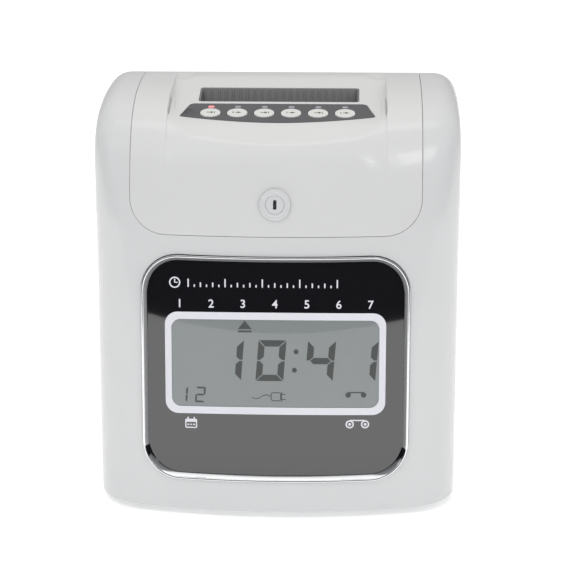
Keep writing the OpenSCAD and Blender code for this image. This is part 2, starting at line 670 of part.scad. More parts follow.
// ---- Printer ----
module guide_rods() color("silver") {
    rod_x(-plate_x - 3, plate_x + 3, rod_y, rod_z, rod_r);
    rod_x(-plate_x - 3, plate_x + 3, rod2_y, rod2_z, rod2_r);
}
module carriage_plate() color("gainsboro") difference() {
    union() {
        box(-plate_x + 0.1, plate_x - 0.1, plate_y, plate_y + plate_t, 158.5, 180);
        box(-plate_x + 0.1, plate_x - 0.1, plate_y, -9.5, 178.5, 180);
        rod_y_at(-pulley_x, pulley_z, belt_y - 1.5, plate_y + 1, 1.5);
    }
    rod_y_at(pulley_x, pulley_z, -60, -20, 3.2);
    box(-30, 30, -30, -15, 175, 185);
}
module carriage() color("#3a3d42") difference() {
    union() {
        box(-15, 15, -33, -11, 139, 151);
        box(-9, 9, -33.5, -26.5, 150, 158.2);
        box(-4, 4, belt_y - 1.5, -33, 151, 155.5);
        box(-4, 4, belt_y - 1.5, belt_y + belt_w + 0.2, 155, 158.1);
    }
    rod_x(-20, 20, rod_y, rod_z, rod_r + fit);
    rod_x(-20, 20, rod2_y, rod2_z, rod2_r + fit);
    box(-8.1, 8.1, -20.1, -5, 145.9, 155);
}
module print_head() color("#8a8d92") {
    box(-8, 8, -20, -8, 146, 156);
    for (i = [0 : 3]) box(-8.8, 8.8, -19 + i * 2.6, -17.6 + i * 2.6, 151.2, 157.5);
    box(-4, 4, -8.1, -2.6, 147.5, 152.5);
}
module carriage_motor() color("darkgray") difference() {
    rod_y_at(pulley_x, pulley_z, plate_y + plate_t + 0.05, plate_y + plate_t + 22, 8.4);
    rod_y_at(pulley_x, pulley_z, -60, plate_y + 12, 1 + fit);
}
module pulley(x, bore) difference() {
    union() {
        rod_y_at(x, pulley_z, belt_y - 0.3, belt_y + belt_w + 0.3, pulley_r);
        rod_y_at(x, pulley_z, belt_y - 1.1, belt_y - 0.3, pulley_r + 1.6);
        rod_y_at(x, pulley_z, belt_y + belt_w + 0.3, belt_y + belt_w + 0.5, pulley_r);
    }
    if (bore > 0) rod_y_at(x, pulley_z, -60, -30, bore);
}
module drive_pulley() color("silver") union() {
    pulley(pulley_x, 0);
    rod_y_at(pulley_x, pulley_z, belt_y, plate_y + 11, 1);
}
module idler_pulley() color("silver") pulley(-pulley_x, 1.5 + fit);
module belt() color("#202020") translate([0, belt_y + belt_w, pulley_z]) rotate([90, 0, 0])
    linear_extrude(belt_w) difference() {
        polygon(rr_pts(2 * (pulley_x + pulley_r + 0.4 + belt_t), 2 * (pulley_r + 0.4 + belt_t),
            pulley_r + 0.38 + belt_t, 16));
        polygon(rr_pts(2 * (pulley_x + pulley_r + 0.4), 2 * (pulley_r + 0.4), pulley_r + 0.38, 16));
    }

module ribbon_cartridge() color("#26262a") difference() {
    union() {
        translate([0, -23, cart_z]) linear_extrude(13) polygon(rr_pts(112, 27, 5, 5));
        both_sides() box(49, 56, -9.5, -1.2, 143, cart_z + 8);
        both_sides() box(49, 56, -14, -5, cart_z, cart_z + 13);
    }
    translate([knob_x, -23, cart_z + 9]) cylinder(r = 2.05, h = 10);
    both_sides() box(48, 50.5, -2.5, -1.4, 143.6, 157.4);
}
module ribbon() color("#1b1026") box(-50, 50, -2.1, -1.7, 144, 157);
module ribbon_knob() color("#4a4a50") translate([knob_x, -23, 0]) {
    translate([0, 0, cart_z + 13.4]) cylinder(r = 6, h = 4, $fn = 64);
    translate([0, 0, cart_z + 9.5]) cylinder(r = 2, h = 5);
    translate([-0.8, -5, cart_z + 17.3]) cube([1.6, 10, 1.6]);
}

// ---- Electrics ----
module main_board() color("darkgreen") difference() {
    union() {
        box(-62, 62, board_y, board_y + 1.6, board_z[0], board_z[1]);
        for (p = board_holes) rod_y_at(p[0], p[1], board_y + 1.6, rear_y - wall - 0.02, 3.2);
        box(cable_x - 5, cable_x + 5, board_y + 1.5, board_y + 6, 168, 174);
    }
    for (p = board_holes) rod_y_at(p[0], p[1], board_y - 5, board_y + 12, 1.25);
}
module board_parts() {
    color("#202024") {
        box(-24, 8, board_y - 3.6, board_y - 0.02, 112, 134);
        box(20, 42, board_y - 3, board_y - 0.02, 140, 150);
        box(-44, -22, board_y - 3, board_y - 0.02, 150, 160);
        rod_y_at(44, 110, board_y - 8.5, board_y - 0.02, 6.5);
    }
    color("royalblue") for (x = [-50, -34, -18]) rod_y_at(x, 82, board_y - 15, board_y - 0.02, 6);
    color("ivory") for (x = [2, 28]) box(x, x + 22, board_y - 8, board_y - 0.02, 68, 75);
    color("silver") box(18, 30, board_y - 4.5, board_y - 0.02, 120, 125);
}
module transformer() {
    color("#6b6f75") difference() {
        box(-52, -4, 14, 44, floor_z + plate_t + 0.02, floor_z + 42);
        box(-44, -33, 10, 50, floor_z + 10, floor_z + 34);
        box(-23, -12, 10, 50, floor_z + 10, floor_z + 34);
    }
    color("khaki") difference() {
        box(-43.9, -12.1, 11, 47.5, floor_z + 10.1, floor_z + 33.9);
        box(-33.05, -22.95, 10, 50, floor_z + 5, floor_z + 40);
    }
}
module battery_pack() color("seagreen") for (i = [0 : 3])
    rod_x(2, 52, 20 + (i % 2) * 14.6, floor_z + plate_t + 7.25 + floor(i / 2) * 14.6, 7.2);

module power_inlet() color("#1d1d20") {
    difference() {
        union() {
            box(inlet_x - 12, inlet_x + 12, rear_y - 20, rear_y - 0.3, inlet_z - 7, inlet_z + 7);
            box(inlet_x - 14.5, inlet_x + 14.5, rear_y - wall - 1.6, rear_y - wall - 0.05,
                inlet_z - 9, inlet_z + 9);
        }
        translate([inlet_x, 0, inlet_z]) through(rear_y - 14, rear_y + 5) polygon(rr_pts(16.4, 9, 4.4, 8));
    }
    for (x = [-4.9, 4.9]) rod_y_at(inlet_x + x, inlet_z, rear_y - 15, rear_y - 4, 1.2);
}

// Flat cable from the key board to the main board, in its own sheet
module key_cable() color("lightsteelblue") translate([cable_x, 0, 0]) across(cable_w) polygon(concat(
    [for (p = cable_route) [p[0], p[1] - cable_t / 2]],
    [for (i = [len(cable_route) - 1 : -1 : 0]) cable_route[i] + [cable_t, cable_t / 2]]));

// ---- Fasteners ----
module screw(len) {
    cylinder(r = 1.45, h = len);
    translate([0, 0, -1.7]) difference() {
        cylinder(r1 = 2.4, r2 = 2.8, h = 1.72);
        for (a = [0, 90]) rotate(a) translate([-2, -0.35, -1]) cube([4, 0.7, 1.8]);
    }
}
module small_screw(len) {
    cylinder(r = 0.95, h = len);
    translate([0, 0, -1.2]) cylinder(r = 1.9, h = 1.22);
}
module base_screws() color("silver") both_sides() {
    for (y = tray_screw_y) translate([tray_screw_x, y, foot_h + 1 - 0.02]) screw(10);
    for (y = frame_screw_y) translate([frame_screw_x, y, foot_h + 1 - 0.02]) screw(6);
}
module rear_screws() color("silver") both_sides() for (z = rear_screw_z)
    translate([rear_screw_x, rear_y - 1.78, z]) rotate([90, 0, 0]) screw(8);
module cover_screws() color("silver") on_dish() for (x = [-post_x, post_x], y = post_y)
    translate([x, y, -board_drop - 1.64]) small_screw(5);
module inner_screws() color("silver") {
    on_face() {
        for (p = lcd_tabs) translate([p[0], 21.14, lcd_z + p[1]]) rotate([90, 0, 0]) small_screw(5.5);
        for (p = lcd_ears) translate([p[0], 17.44, p[1]]) rotate([90, 0, 0]) small_screw(4.5);
    }
    for (p = board_holes) translate([p[0], board_y - 0.04, p[1]]) rotate([-90, 0, 0]) small_screw(8);
}

housing();
rear_cover();
base_tray();
rubber_feet();
top_cover();
hinge_pins();
lock_barrel();
lock_plug();
lock_cam();
lock_nut();
card_mouth();
key_label();
key_1();
key_2();
key_3();
key_4();
key_5();
key_6();
key_board();
key_switches();
led_lenses();
led_lens_lit();
window_trim();
display_lens();
lcd_shroud();
lcd_glass();
lcd_frame();
lcd_board();
chassis();
card_guide_front();
card_guide_rear();
platen();
feed_shaft();
feed_rollers();
feed_gear();
feed_motor();
feed_pinion();
pinch_shaft();
pinch_rollers();
guide_rods();
carriage_plate();
carriage();
print_head();
carriage_motor();
drive_pulley();
idler_pulley();
belt();
ribbon_cartridge();
ribbon();
ribbon_knob();
main_board();
board_parts();
transformer();
battery_pack();
power_inlet();
key_cable();
base_screws();
rear_screws();
cover_screws();
inner_screws();
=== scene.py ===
"""Punch time clock: the looks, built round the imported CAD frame.

Sizes are in millimetres and become metres when a piece is made. The case is one skin laid on a side
profile (q runs along it, from the front's lower edge over the top and down the back) and a cross section
(u runs across it, from the middle out to a side wall's lower edge).
"""
import math

import bmesh
import bpy
import numpy as np
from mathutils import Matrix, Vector, kdtree
from mathutils.geometry import delaunay_2d_cdt


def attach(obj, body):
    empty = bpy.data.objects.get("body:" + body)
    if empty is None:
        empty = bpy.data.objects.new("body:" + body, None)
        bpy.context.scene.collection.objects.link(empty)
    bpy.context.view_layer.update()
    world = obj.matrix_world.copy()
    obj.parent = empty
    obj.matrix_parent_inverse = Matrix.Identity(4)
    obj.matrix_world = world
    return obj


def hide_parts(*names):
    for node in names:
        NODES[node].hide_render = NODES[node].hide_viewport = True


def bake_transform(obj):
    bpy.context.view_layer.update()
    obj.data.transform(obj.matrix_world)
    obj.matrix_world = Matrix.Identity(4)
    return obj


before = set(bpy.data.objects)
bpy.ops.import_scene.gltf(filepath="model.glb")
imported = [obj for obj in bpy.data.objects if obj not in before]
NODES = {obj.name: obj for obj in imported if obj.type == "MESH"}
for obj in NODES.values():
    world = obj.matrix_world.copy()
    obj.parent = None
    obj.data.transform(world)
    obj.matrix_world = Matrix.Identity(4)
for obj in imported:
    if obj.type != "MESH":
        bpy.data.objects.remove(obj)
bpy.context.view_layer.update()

MM = 0.001

# ---- Driving sizes, the same as in part.scad ----
HALF_W = 100.0
FRONT_Y = -70.0
REAR_Y = 71.4
TOP_Z = 230.0
FOOT_H = 4.0
WALL = 2.5
LEAN = math.radians(2.93)
LEAN_Z = 20.0
FACE_R = 290.8
FRONT_CORNER_R = 32.0
SHOULDER_R = 13.0
REAR_CORNER_R = 9.0
REAR_TOP_R = 28.0
HALF_W_TAPER, TAPER_TOP = 0.65, 124.0      # the case narrows a little below this height
COVER_HALF_W = 78.6
COVER_Z = 157.4
COVER_CORNER_R = 19.0
SEAM_GAP = 0.22
HINGE_Y, HINGE_Z, HINGE_R = 68.2, 209.0, 3.2
LOCK_Y, LOCK_Z, LOCK_TILT = -61.0, 175.0, math.radians(9.8)
LOCK_LEN, LOCK_R, PLUG_R = 11.5, 7.5, 4.95
DISH_Y, DISH_Z, DISH_SLOPE = -34.0, 214.6, math.radians(13.5)
DISH_FOOT, DISH_EDGE = 51.0, 59.6      # the side walls rise from the one to the other
KEY_ROW, LED_ROW, LABEL_REAR, LABEL_HALF = 12.3, 20.9, 25.4, 53.0
LABEL_FRONT_R, LABEL_SLANT = 186.0, 13.6
KEY_PITCH, KEY_R, KEY_COUNT = 14.7, 5.6, 6
MOUTH_W, MOUTH_D, MOUTH_R, MOUTH_AT = 88.6, 20.0, 1.6, 38.5
TRIM_W, TRIM_H, TRIM_R, TRIM_Z, TRIM_PROUD = 146.0, 125.5, 21.0, 64.3, 1.4
LCD_W, LCD_H, LCD_R, LCD_Z, LCD_DEPTH = 113.0, 48.8, 5.0, 67.7, 11.4
LENS_TOP, LENS_T = 2.53, 1.97
REAR_OPEN_W, REAR_OPEN_LOW, REAR_OPEN_HIGH = 172.0, 14.0, 194.0
FOOT_X, FOOT_Y = 70.0, (-36.0, 50.0)

# ---- Sizes of the looks only ----
FRAME_W, FRAME_H, FRAME_R = 120.2, 56.9, 7.0      # white frame printed round the display
LCD_PANE = LENS_TOP + 0.15      # how far the pane lies behind the front's surface
LEVEL = 0.2      # share of the bulge by which prints are lowered at the sides
PRINT_T = 0.06
NUMERAL_WEIGHT = 0.014
PROFILE_STEP, EASE_LINE, EASE_TURN = 0.5, 14, 36      # steps over which the profile and its angle are eased
# u runs round the corner or shoulder from SIDE_FROM to SIDE_TO, and down the side wall to SIDE_END
SIDE_FROM, SIDE_TO, SIDE_END = 80.0, 104.0, 164.0
CORNER_FROM, CORNER_TO, REAR_BLEND = -50.0, 72.0, 34.0      # q over which the corners' radii change
CREASE_DEPTH, SLIT_DEPTH, SLIT_HALF, SLIT_IN = 1.35, 1.8, 0.35, 0.4
FLOOR_RISE = math.tan(math.radians(17))      # from the panel's floor forwards to the front
DAY_X, DAY_PITCH, DAY_Z, DAY_H = -51.8, 17.25, 100.9, 4.6
HOUR_X, HOUR_SPAN, HOUR_Z = -47.0, 80.5, 109.9
CLOCK_AT, CALENDAR_AT, RIBBON_AT = (-54.4, 112.4), (-46.0, 33.8), (45.0, 34.0)
TIME_TOP, DATE_TOP, PLUG_Z = LCD_Z + 13.2, LCD_Z - 13.4, LCD_Z - 18.4
TIME_DIGIT = (15.1, 22.8, 3.5, 0.35)      # width, height, stroke and gap
DATE_DIGIT = (5.5, 8.8, 1.0, 0.15)
DIGIT_SLANT = 0.078


# ---- Outlines: lists of 2-D points, as arrays ----
def arc(x, y, r, start, end, count):
    a = np.radians(np.linspace(start, end, count + 1))
    return np.stack([x + r * np.cos(a), y + r * np.sin(a)], 1)


def rounded(w, h, r, cx, cy, count=8):
    corners = [(1, 1, 0), (-1, 1, 90), (-1, -1, 180), (1, -1, 270)]
    return np.concatenate([arc(cx + sx * (w / 2 - r), cy + sy * (h / 2 - r), r, a, a + 90, count)
                           for sx, sy, a in corners])


def disc(r, cx, cy, count=48):
    return arc(cx, cy, r, 0, 360, count)[:-1]


def resample(loop, step):
    """The same closed outline with points at most step apart, its own points kept."""
    out = []
    for a, b in zip(loop, np.roll(loop, -1, 0)):
        n = max(1, math.ceil(np.linalg.norm(b - a) / step))
        out += [a + (b - a) * i / n for i in range(n)]
    return np.array(out)


def turned(loop, ccw=True):
    x, y = loop.T
    area = np.sum(x * np.roll(y, -1) - np.roll(x, -1) * y)
    return loop if (area > 0) == ccw else loop[::-1]


def inset(loop, d):
    """The outline moved by d to the left of its direction of travel."""
    before = loop - np.roll(loop, 1, 0)
    after = np.roll(loop, -1, 0) - loop
    unit = [v / np.maximum(np.linalg.norm(v, axis=1, keepdims=True), 1e-9) for v in (before, after)]
    left = [np.stack([-v[:, 1], v[:, 0]], 1) for v in unit]
    mid = left[0] + left[1]
    mid /= np.maximum(np.linalg.norm(mid, axis=1, keepdims=True), 1e-9)
    stretch = 1 / np.maximum(np.sum(mid * left[0], axis=1), 0.5)
    return loop + mid * (d * stretch)[:, None]


def contains(points, loops):
    odd = np.zeros(len(points), bool)
    x, y = points.T
    for loop in loops:
        for (ax, ay), (bx, by) in zip(loop, np.roll(loop, -1, 0)):
            if ay != by:
                crosses = (ay > y) != (by > y)
                odd ^= crosses & (x < ax + (y - ay) / (by - ay) * (bx - ax))
    return odd


def fill(loops, spacing, columns):
    """Triangles of the area inside the first loop and outside the others, with more points in the given
    columns. Returns points, faces, the loops' point numbers."""
    points = [p for loop in loops for p in loop]
    numbers, start = [], 0
    for loop in loops:
        numbers.append(list(range(start, start + len(loop))))
        start += len(loop)
    edges = [(n[i], n[(i + 1) % len(n)]) for n in numbers for i in range(len(n))]
    if spacing:
        low, high = loops[0].min(0), loops[0].max(0)
        grid = [np.linspace(a, b, max(2, round((b - a) / spacing)) + 1)[1:-1] for a, b in zip(low, high)]
        if len(columns):
            clear = [abs(x - np.asarray(columns)).min() > 0.3 * spacing for x in grid[0]]
            grid[0] = np.concatenate([grid[0][clear], columns])
        inner = np.stack(np.meshgrid(*grid), -1).reshape(-1, 2)
        inner = inner[contains(inner, loops)]
        tree = kdtree.KDTree(len(points))
        for i, p in enumerate(points):
            tree.insert((p[0], p[1], 0), i)
        tree.balance()
        points += [p for p in inner if tree.find((p[0], p[1], 0))[2] > 0.55 * spacing]
    made = delaunay_2d_cdt([Vector(p) for p in points], edges, [], 0, 1e-7)
    old = [o[0] for o in made[3]]
    faces = np.array([[old[i] for i in f] for f in made[2] if len(f) == 3])
    points = np.array(points)
    faces = faces[contains(points[faces].mean(1), loops)]
    return points, faces, numbers


# ---- Meshes ----
def linked(name, data):
    """A new object, in the scene."""
    obj = bpy.data.objects.new(name, data)
    bpy.context.scene.collection.objects.link(obj)
    return obj


def make(name, verts, faces, material, body, slot, replaces=(), sharp=35.0):
    """A piece from points in millimetres, with outward faces and sharp edges only where it turns sharply."""
    mesh = bpy.data.meshes.new(name)
    mesh.from_pydata((np.asarray(verts, float) * MM).tolist(), [], [list(map(int, f)) for f in faces])
    bm = bmesh.new()
    bm.from_mesh(mesh)
    bmesh.ops.remove_doubles(bm, verts=bm.verts, dist=2e-6)
    bmesh.ops.dissolve_degenerate(bm, edges=bm.edges, dist=1e-6)
    bmesh.ops.recalc_face_normals(bm, faces=bm.faces)
    bm.to_mesh(mesh)
    bm.free()
    mesh.shade_smooth()
    mesh.set_sharp_from_angle(angle=math.radians(sharp))
    mesh.materials.append(material)
    obj = linked(name, mesh)
    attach(obj, body)
    if replaces:
        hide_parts(*replaces)


class Parts:
    """Several closed shells gathered into one piece."""

    def __init__(self):
        self.verts, self.faces = [], []

    def add(self, verts, faces):
        start = sum(len(v) for v in self.verts)
        self.verts.append(np.asarray(verts, float))
        self.faces += [[int(i) + start for i in f] for f in faces]
        return self

    def plate(self, *how, **more):
        return self.add(*plate(*how, **more))

    def make(self, name, *how, **more):
        make(name, np.concatenate(self.verts), self.faces, *how, **more)


def strip(a, b):
    """Quads between two rings of point numbers."""
    n = len(a)
    return [[a[i], a[(i + 1) % n], b[(i + 1) % n], b[i]] for i in range(n)]


def plate(outline, holes, place, thick, spacing=0.0, edge=0.0, columns=()):
    """A closed plate with rounded front edges. place(u, v, depth) lays it in space, with depth going
    into the object. spacing is the distance between points inside; without it there are none."""
    step = spacing or 3.0
    loops = [turned(resample(outline, step))] + [turned(resample(h, step), False) for h in holes]
    angles = np.radians([0, 22, 45, 68, 90])
    rounding = [(edge * (1 - math.cos(a)), edge * (1 - math.sin(a))) for a in angles] if edge else []
    # a narrow flat border keeps the shading even
    rounding.append((edge + 0.2, 0.0) if edge else (0.0, 0.0))
    last = rounding[-1][0]
    flat, faces, numbers = fill([inset(loop, last) for loop in loops], spacing, columns)
    verts = [place(flat[:, 0], flat[:, 1], 0.0), place(flat[:, 0], flat[:, 1], thick)]
    count = len(flat)
    out = faces.tolist() + (faces[:, ::-1] + count).tolist()
    start = 2 * count
    for loop, ring in zip(loops, numbers):
        levels = [(0.0, thick)] + rounding[:-1] if edge else []
        rings = [[i + count for i in ring]]
        for d, depth in levels:
            moved = inset(loop, d)
            verts.append(place(moved[:, 0], moved[:, 1], depth))
            rings.append(list(range(start, start + len(loop))))
            start += len(loop)
        rings.append(ring)
        for a, b in zip(rings, rings[1:]):
            out += strip(a, b)
    return np.concatenate(verts), out


def loft(rings, closed=True, caps=False):
    """A skin through rings of equal length; closed joins the last ring to the first."""
    count = len(rings[0])
    numbers = [list(range(i * count, (i + 1) * count)) for i in range(len(rings))]
    faces = []
    for a, b in zip(numbers, numbers[1:] + (numbers[:1] if closed else [])):
        faces += strip(a, b)
    if caps:
        faces += [numbers[0], numbers[-1][::-1]]
    return np.concatenate(rings), faces


def prism(verts, faces, place, thick):
    """A closed prism from flat faces: for prints and thin marks."""
    count = len(verts)
    used = dict.fromkeys((a, b) for f in faces for a, b in zip(f, f[1:] + f[:1]))
    rim = [(a, b) for a, b in used if (b, a) not in used]
    out = [list(f) for f in faces] + [[i + count for i in reversed(f)] for f in faces]
    out += [[b, a, a + count, b + count] for a, b in rim]
    flat = np.asarray(verts, float)
    return np.concatenate([place(flat[:, 0], flat[:, 1], d) for d in (0.0, thick)]), out


def numeral(text, height, cx, cy):
    """Flat faces of a numeral, centred at (cx, cy)."""
    curve = bpy.data.curves.new("numeral", "FONT")
    curve.body, curve.size, curve.offset = text, 1.0, NUMERAL_WEIGHT
    curve.align_x = "CENTER"
    obj = bpy.data.objects.new("numeral", curve)
    mesh = obj.to_mesh()
    verts = np.array([v.co[:2] for v in mesh.vertices])
    faces = [list(f.vertices) for f in mesh.polygons]
    obj.to_mesh_clear()
    bpy.data.objects.remove(obj)
    bpy.data.curves.remove(curve)
    low, high = verts.min(0), verts.max(0)
    return (verts - (low + high) / 2) * height / (high[1] - low[1]) + [cx, cy], faces


def travelled(points):
    """The distance along a line of points, at each of them."""
    return np.concatenate([[0], np.cumsum(np.linalg.norm(np.diff(points, axis=0), axis=1))])


def left_of(points):
    """The unit vector to the left of a line's direction, at each of its points."""
    d = np.gradient(points, axis=0)
    d /= np.linalg.norm(d, axis=1, keepdims=True)
    return np.stack([-d[:, 1], d[:, 0]], 1)


def stroke(points, width):
    """The outline of a line of that width along points."""
    points = np.asarray(points, float)
    left = left_of(points) * width / 2
    return np.concatenate([points - left, (points + left)[::-1]])


def circle(r, h, count):
    a = np.linspace(0, 2 * math.pi, count, endpoint=False)
    return np.stack([r * np.cos(a), r * np.sin(a), np.full(count, h)], 1)


def lathe(profile, place, count, hollow=False):
    """Turns a profile of (radius, height) round the local axis; a hollow one is joined to its own start."""
    verts, faces = loft([circle(r, h, count) for r, h in profile], closed=hollow, caps=not hollow)
    return place(verts), faces


def rod(x0, x1, y, z, r, round_off=0.3):
    c = min(round_off, r / 2)
    profile = [(0.01, x0), (r - c, x0), (r - 0.3 * c, x0 + 0.3 * c), (r, x0 + c),
               (r, x1 - c), (r - 0.3 * c, x1 - 0.3 * c), (r - c, x1), (0.01, x1)]
    return lathe(profile, lambda v: np.stack([v[:, 2], y + v[:, 0], z + v[:, 1]], 1), 32)


def block(x0, x1, y0, y1, z0, z1, r=0.4):
    """A box with rounded upright edges and chamfered ends."""
    def ring(d, z):
        loop = rounded(x1 - x0 - 2 * d, y1 - y0 - 2 * d, max(r, 0.05), (x0 + x1) / 2, (y0 + y1) / 2, 3)
        return np.column_stack([loop, np.full(len(loop), z)])
    c = r * 0.6
    return loft([ring(c, z0), ring(0, z0 + c), ring(0, z1 - c), ring(c, z1)], closed=False, caps=True)


# ---- The case's form ----
def bezier(points, t):
    p0, p1, p2, p3 = [np.array(p, float) for p in points]
    t = t[:, None]
    return (1 - t) ** 3 * p0 + 3 * t * (1 - t) ** 2 * p1 + 3 * t ** 2 * (1 - t) * p2 + t ** 3 * p3


def eased(values, reach):
    """The values averaged over reach neighbours on each side, with the ends kept."""
    kernel = np.hanning(2 * reach + 1)
    before = 2 * values[0] - values[reach:0:-1]
    after = 2 * values[-1] - values[-2:-reach - 2:-1]
    padded = np.concatenate([before, values, after])
    return np.convolve(padded, kernel / kernel.sum(), "valid")


def side_profile():
    """The case's side view in the middle: points (y, z) at even steps and their outward angle."""
    crest = [(LOCK_Y, LOCK_Z), (-53, 221.3), (-30, TOP_Z), (36, TOP_Z)]
    rough = np.concatenate([
        [(FRONT_Y, FOOT_H), (FRONT_Y, LEAN_Z), (-62.5, 166.2)],
        bezier(crest, np.linspace(0, 1, 60)),
        arc(REAR_Y - REAR_TOP_R, TOP_Z - REAR_TOP_R, REAR_TOP_R, 90, 0, 16),
        [(REAR_Y, FOOT_H)]])
    far = travelled(rough)
    q = np.linspace(0, far[-1], round(far[-1] / PROFILE_STEP) + 1)
    y, z = np.interp(q, far, rough[:, 0]), np.interp(q, far, rough[:, 1])
    y, z = eased(y, EASE_LINE), eased(z, EASE_LINE)
    outward = np.unwrap(np.arctan2(np.gradient(z), np.gradient(y))) + math.pi / 2
    return q, y, z, eased(outward, EASE_TURN)      # the wide reach keeps the sides from folding


Q, PROFILE_Y, PROFILE_Z, PROFILE_A = side_profile()
Q_END = Q[-1]


def smooth(x, low, high):
    t = np.clip((x - low) / (high - low), 0, 1)
    return t * t * (3 - 2 * t)


RISING = slice(0, np.argmax(PROFILE_Z) + 1)
Q_LOCK = float(np.interp(LOCK_Z, PROFILE_Z[RISING], Q[RISING]))
Q_TOP = float(Q[np.argmax(PROFILE_Y > 30)])
Q_BACK = float(Q[np.argmax(PROFILE_Y > REAR_Y - REAR_TOP_R)])


def half_width(z):
    return HALF_W - HALF_W_TAPER * np.clip(1 - z / TAPER_TOP, 0, 1) ** 2


def case_points(u, q):
    """Points of the case's outer surface."""
    u, q = np.broadcast_arrays(np.asarray(u, float), np.asarray(q, float))
    side, a = np.sign(u), np.abs(u)
    y, z, angle = (np.interp(q, Q, v) for v in (PROFILE_Y, PROFILE_Z, PROFILE_A))
    ny, nz = np.cos(angle), np.sin(angle)
    half = half_width(z)
    r = FRONT_CORNER_R + (SHOULDER_R - FRONT_CORNER_R) * smooth(q, Q_LOCK + CORNER_FROM, Q_LOCK + CORNER_TO)
    r = r + (REAR_CORNER_R - r) * smooth(q, Q_BACK, Q_BACK + REAR_BLEND)
    bulge = FACE_R / np.maximum(-ny, 1e-3)
    cx = half - r
    cw = bulge - np.sqrt((bulge - r) ** 2 - cx ** 2)
    tangent = np.arcsin(cx / (bulge - r))
    # how far the arc runs beyond SIDE_FROM, then the corner's own sweep
    x_tangent = bulge * np.sin(tangent)
    flat = np.maximum(x_tangent - SIDE_FROM, 0)
    first = np.where(flat > 0, tangent, np.arcsin(np.clip((SIDE_FROM - cx) / r, -1, 1)))
    length = flat + r * (math.pi / 2 - first)
    gone = np.clip((a - SIDE_FROM) / (SIDE_TO - SIDE_FROM), 0, 1) * length
    in_front = a <= SIDE_FROM
    x = np.where(in_front, a, SIDE_FROM + np.minimum(gone, flat))
    turn = np.where(in_front, np.arcsin(np.clip((x - cx) / r, -1, 1)), first + np.maximum(gone - flat, 0) / r)
    on_corner = np.where(in_front, x > x_tangent, gone > flat)
    w = np.where(on_corner, cw - r * np.cos(turn), bulge - np.sqrt(np.maximum(bulge ** 2 - x ** 2, 0)))
    x = np.where(on_corner, cx + r * np.sin(turn), x)
    py, pz = y - ny * w, z - nz * w
    # the side wall: straight lines down to the lower edge
    t = np.clip((a - SIDE_TO) / (SIDE_END - SIDE_TO), 0, 1)
    low_front, low_rear = FRONT_Y + 42, REAR_Y - 10
    low_y = low_front + (low_rear - low_front) * (q / Q_END) ** 0.5
    x = x + (half_width(FOOT_H) - x) * t
    py, pz = py + (low_y - py) * t, pz + (FOOT_H - pz) * t
    return np.stack([side * x, py, pz], -1)


def surface(points_at):
    """place() for plate(): lays (u, q) on a surface and goes inwards along its normal."""
    def place(u, q, depth):
        d = 0.06
        # differences on both sides keep the normals even, and q stays within its range
        across = points_at(u + d, q) - points_at(u - d, q)
        along = points_at(u, np.minimum(q + d, Q_END)) - points_at(u, np.maximum(q - d, 0))
        n = np.cross(across, along)
        n /= np.maximum(np.linalg.norm(n, axis=-1, keepdims=True), 1e-12)
        return points_at(u, q) - n * depth
    return place


# the panel's frame: its outward normal, its rearward direction and its origin
DISH_OUT = np.array([0, -math.sin(DISH_SLOPE), math.cos(DISH_SLOPE)])
DISH_ALONG = np.array([0, math.cos(DISH_SLOPE), math.sin(DISH_SLOPE)])
DISH_FROM = np.array([0, DISH_Y, DISH_Z])


def soft_min(a, b, k):
    h = np.maximum(k - np.abs(a - b), 0) / k
    return np.minimum(a, b) - h * h * k / 4


def cover_points(u, q):
    """The cover's outer surface: the case's, with the panel sunk into it."""
    p = case_points(u, q)
    rel = p - DISH_FROM
    along, up = rel @ DISH_ALONG, rel @ DISH_OUT
    across = np.abs(p[..., 0])
    floor = soft_min(np.zeros_like(along), (along + 0.9) * FLOOR_RISE, 1.2)
    # creases run on down the front from the panel's corners, and fade out
    crease = CREASE_DEPTH * smooth(p[..., 2], 186, 205) * smooth(across, 44, 57) * smooth(-along, -80, -60)
    depth = np.maximum(up - soft_min(up, floor, 1.3), crease)
    hollow = np.sqrt(1 - np.clip((across - DISH_FOOT) / (DISH_EDGE - DISH_FOOT), 0, 1) ** 2)
    # a short groove beside the keys, at the top of each side wall
    slit = SLIT_DEPTH * np.exp(-((across - DISH_EDGE + SLIT_IN) / SLIT_HALF) ** 2)
    slit = slit * smooth(along, 5, 8) * smooth(-along, -29, -26)
    return p - (depth * hollow + slit)[..., None] * DISH_OUT


def q_where(value, u, target, low, high):
    """q at which value(point) reaches target, for each u, by halving; value grows with q."""
    u, target = np.broadcast_arrays(np.asarray(u, float), np.asarray(target, float))
    a, b = np.full(u.shape, float(low)), np.full(u.shape, float(high))
    for _ in range(34):
        mid = (a + b) / 2
        below = value(case_points(u, mid)) < target
        a, b = np.where(below, mid, a), np.where(below, b, mid)
    return (a + b) / 2


def front_view(loop):
    """An outline drawn as (x, z) in front view, as (u, q)."""
    x, z = loop.T
    return np.column_stack([x, q_where(lambda p: p[..., 2], x, z, 0, Q_TOP)])


def panel_view(loop):
    """An outline drawn on the sunk panel as (x, along it), as (u, q)."""
    x, along = loop.T
    return np.column_stack([x, q_where(lambda p: (p - DISH_FROM) @ DISH_ALONG, x, along, Q_LOCK, Q_BACK)])


def face_z(z):
    """Height of a point of the leaning front, from its distance up the face."""
    return LEAN_Z + z * math.cos(LEAN)


def back_view(loop):
    """An outline drawn as (x, z) in back view, as (u, q)."""
    x, z = loop.T
    return np.column_stack([x, q_where(lambda p: -p[..., 2], x, -z, Q_BACK, Q_END)])


# ---- Local frames ----
def on_dish(v):
    x, y, z = np.asarray(v, float).T
    return DISH_FROM + np.outer(x, [1, 0, 0]) + np.outer(y, DISH_ALONG) + np.outer(z, DISH_OUT)


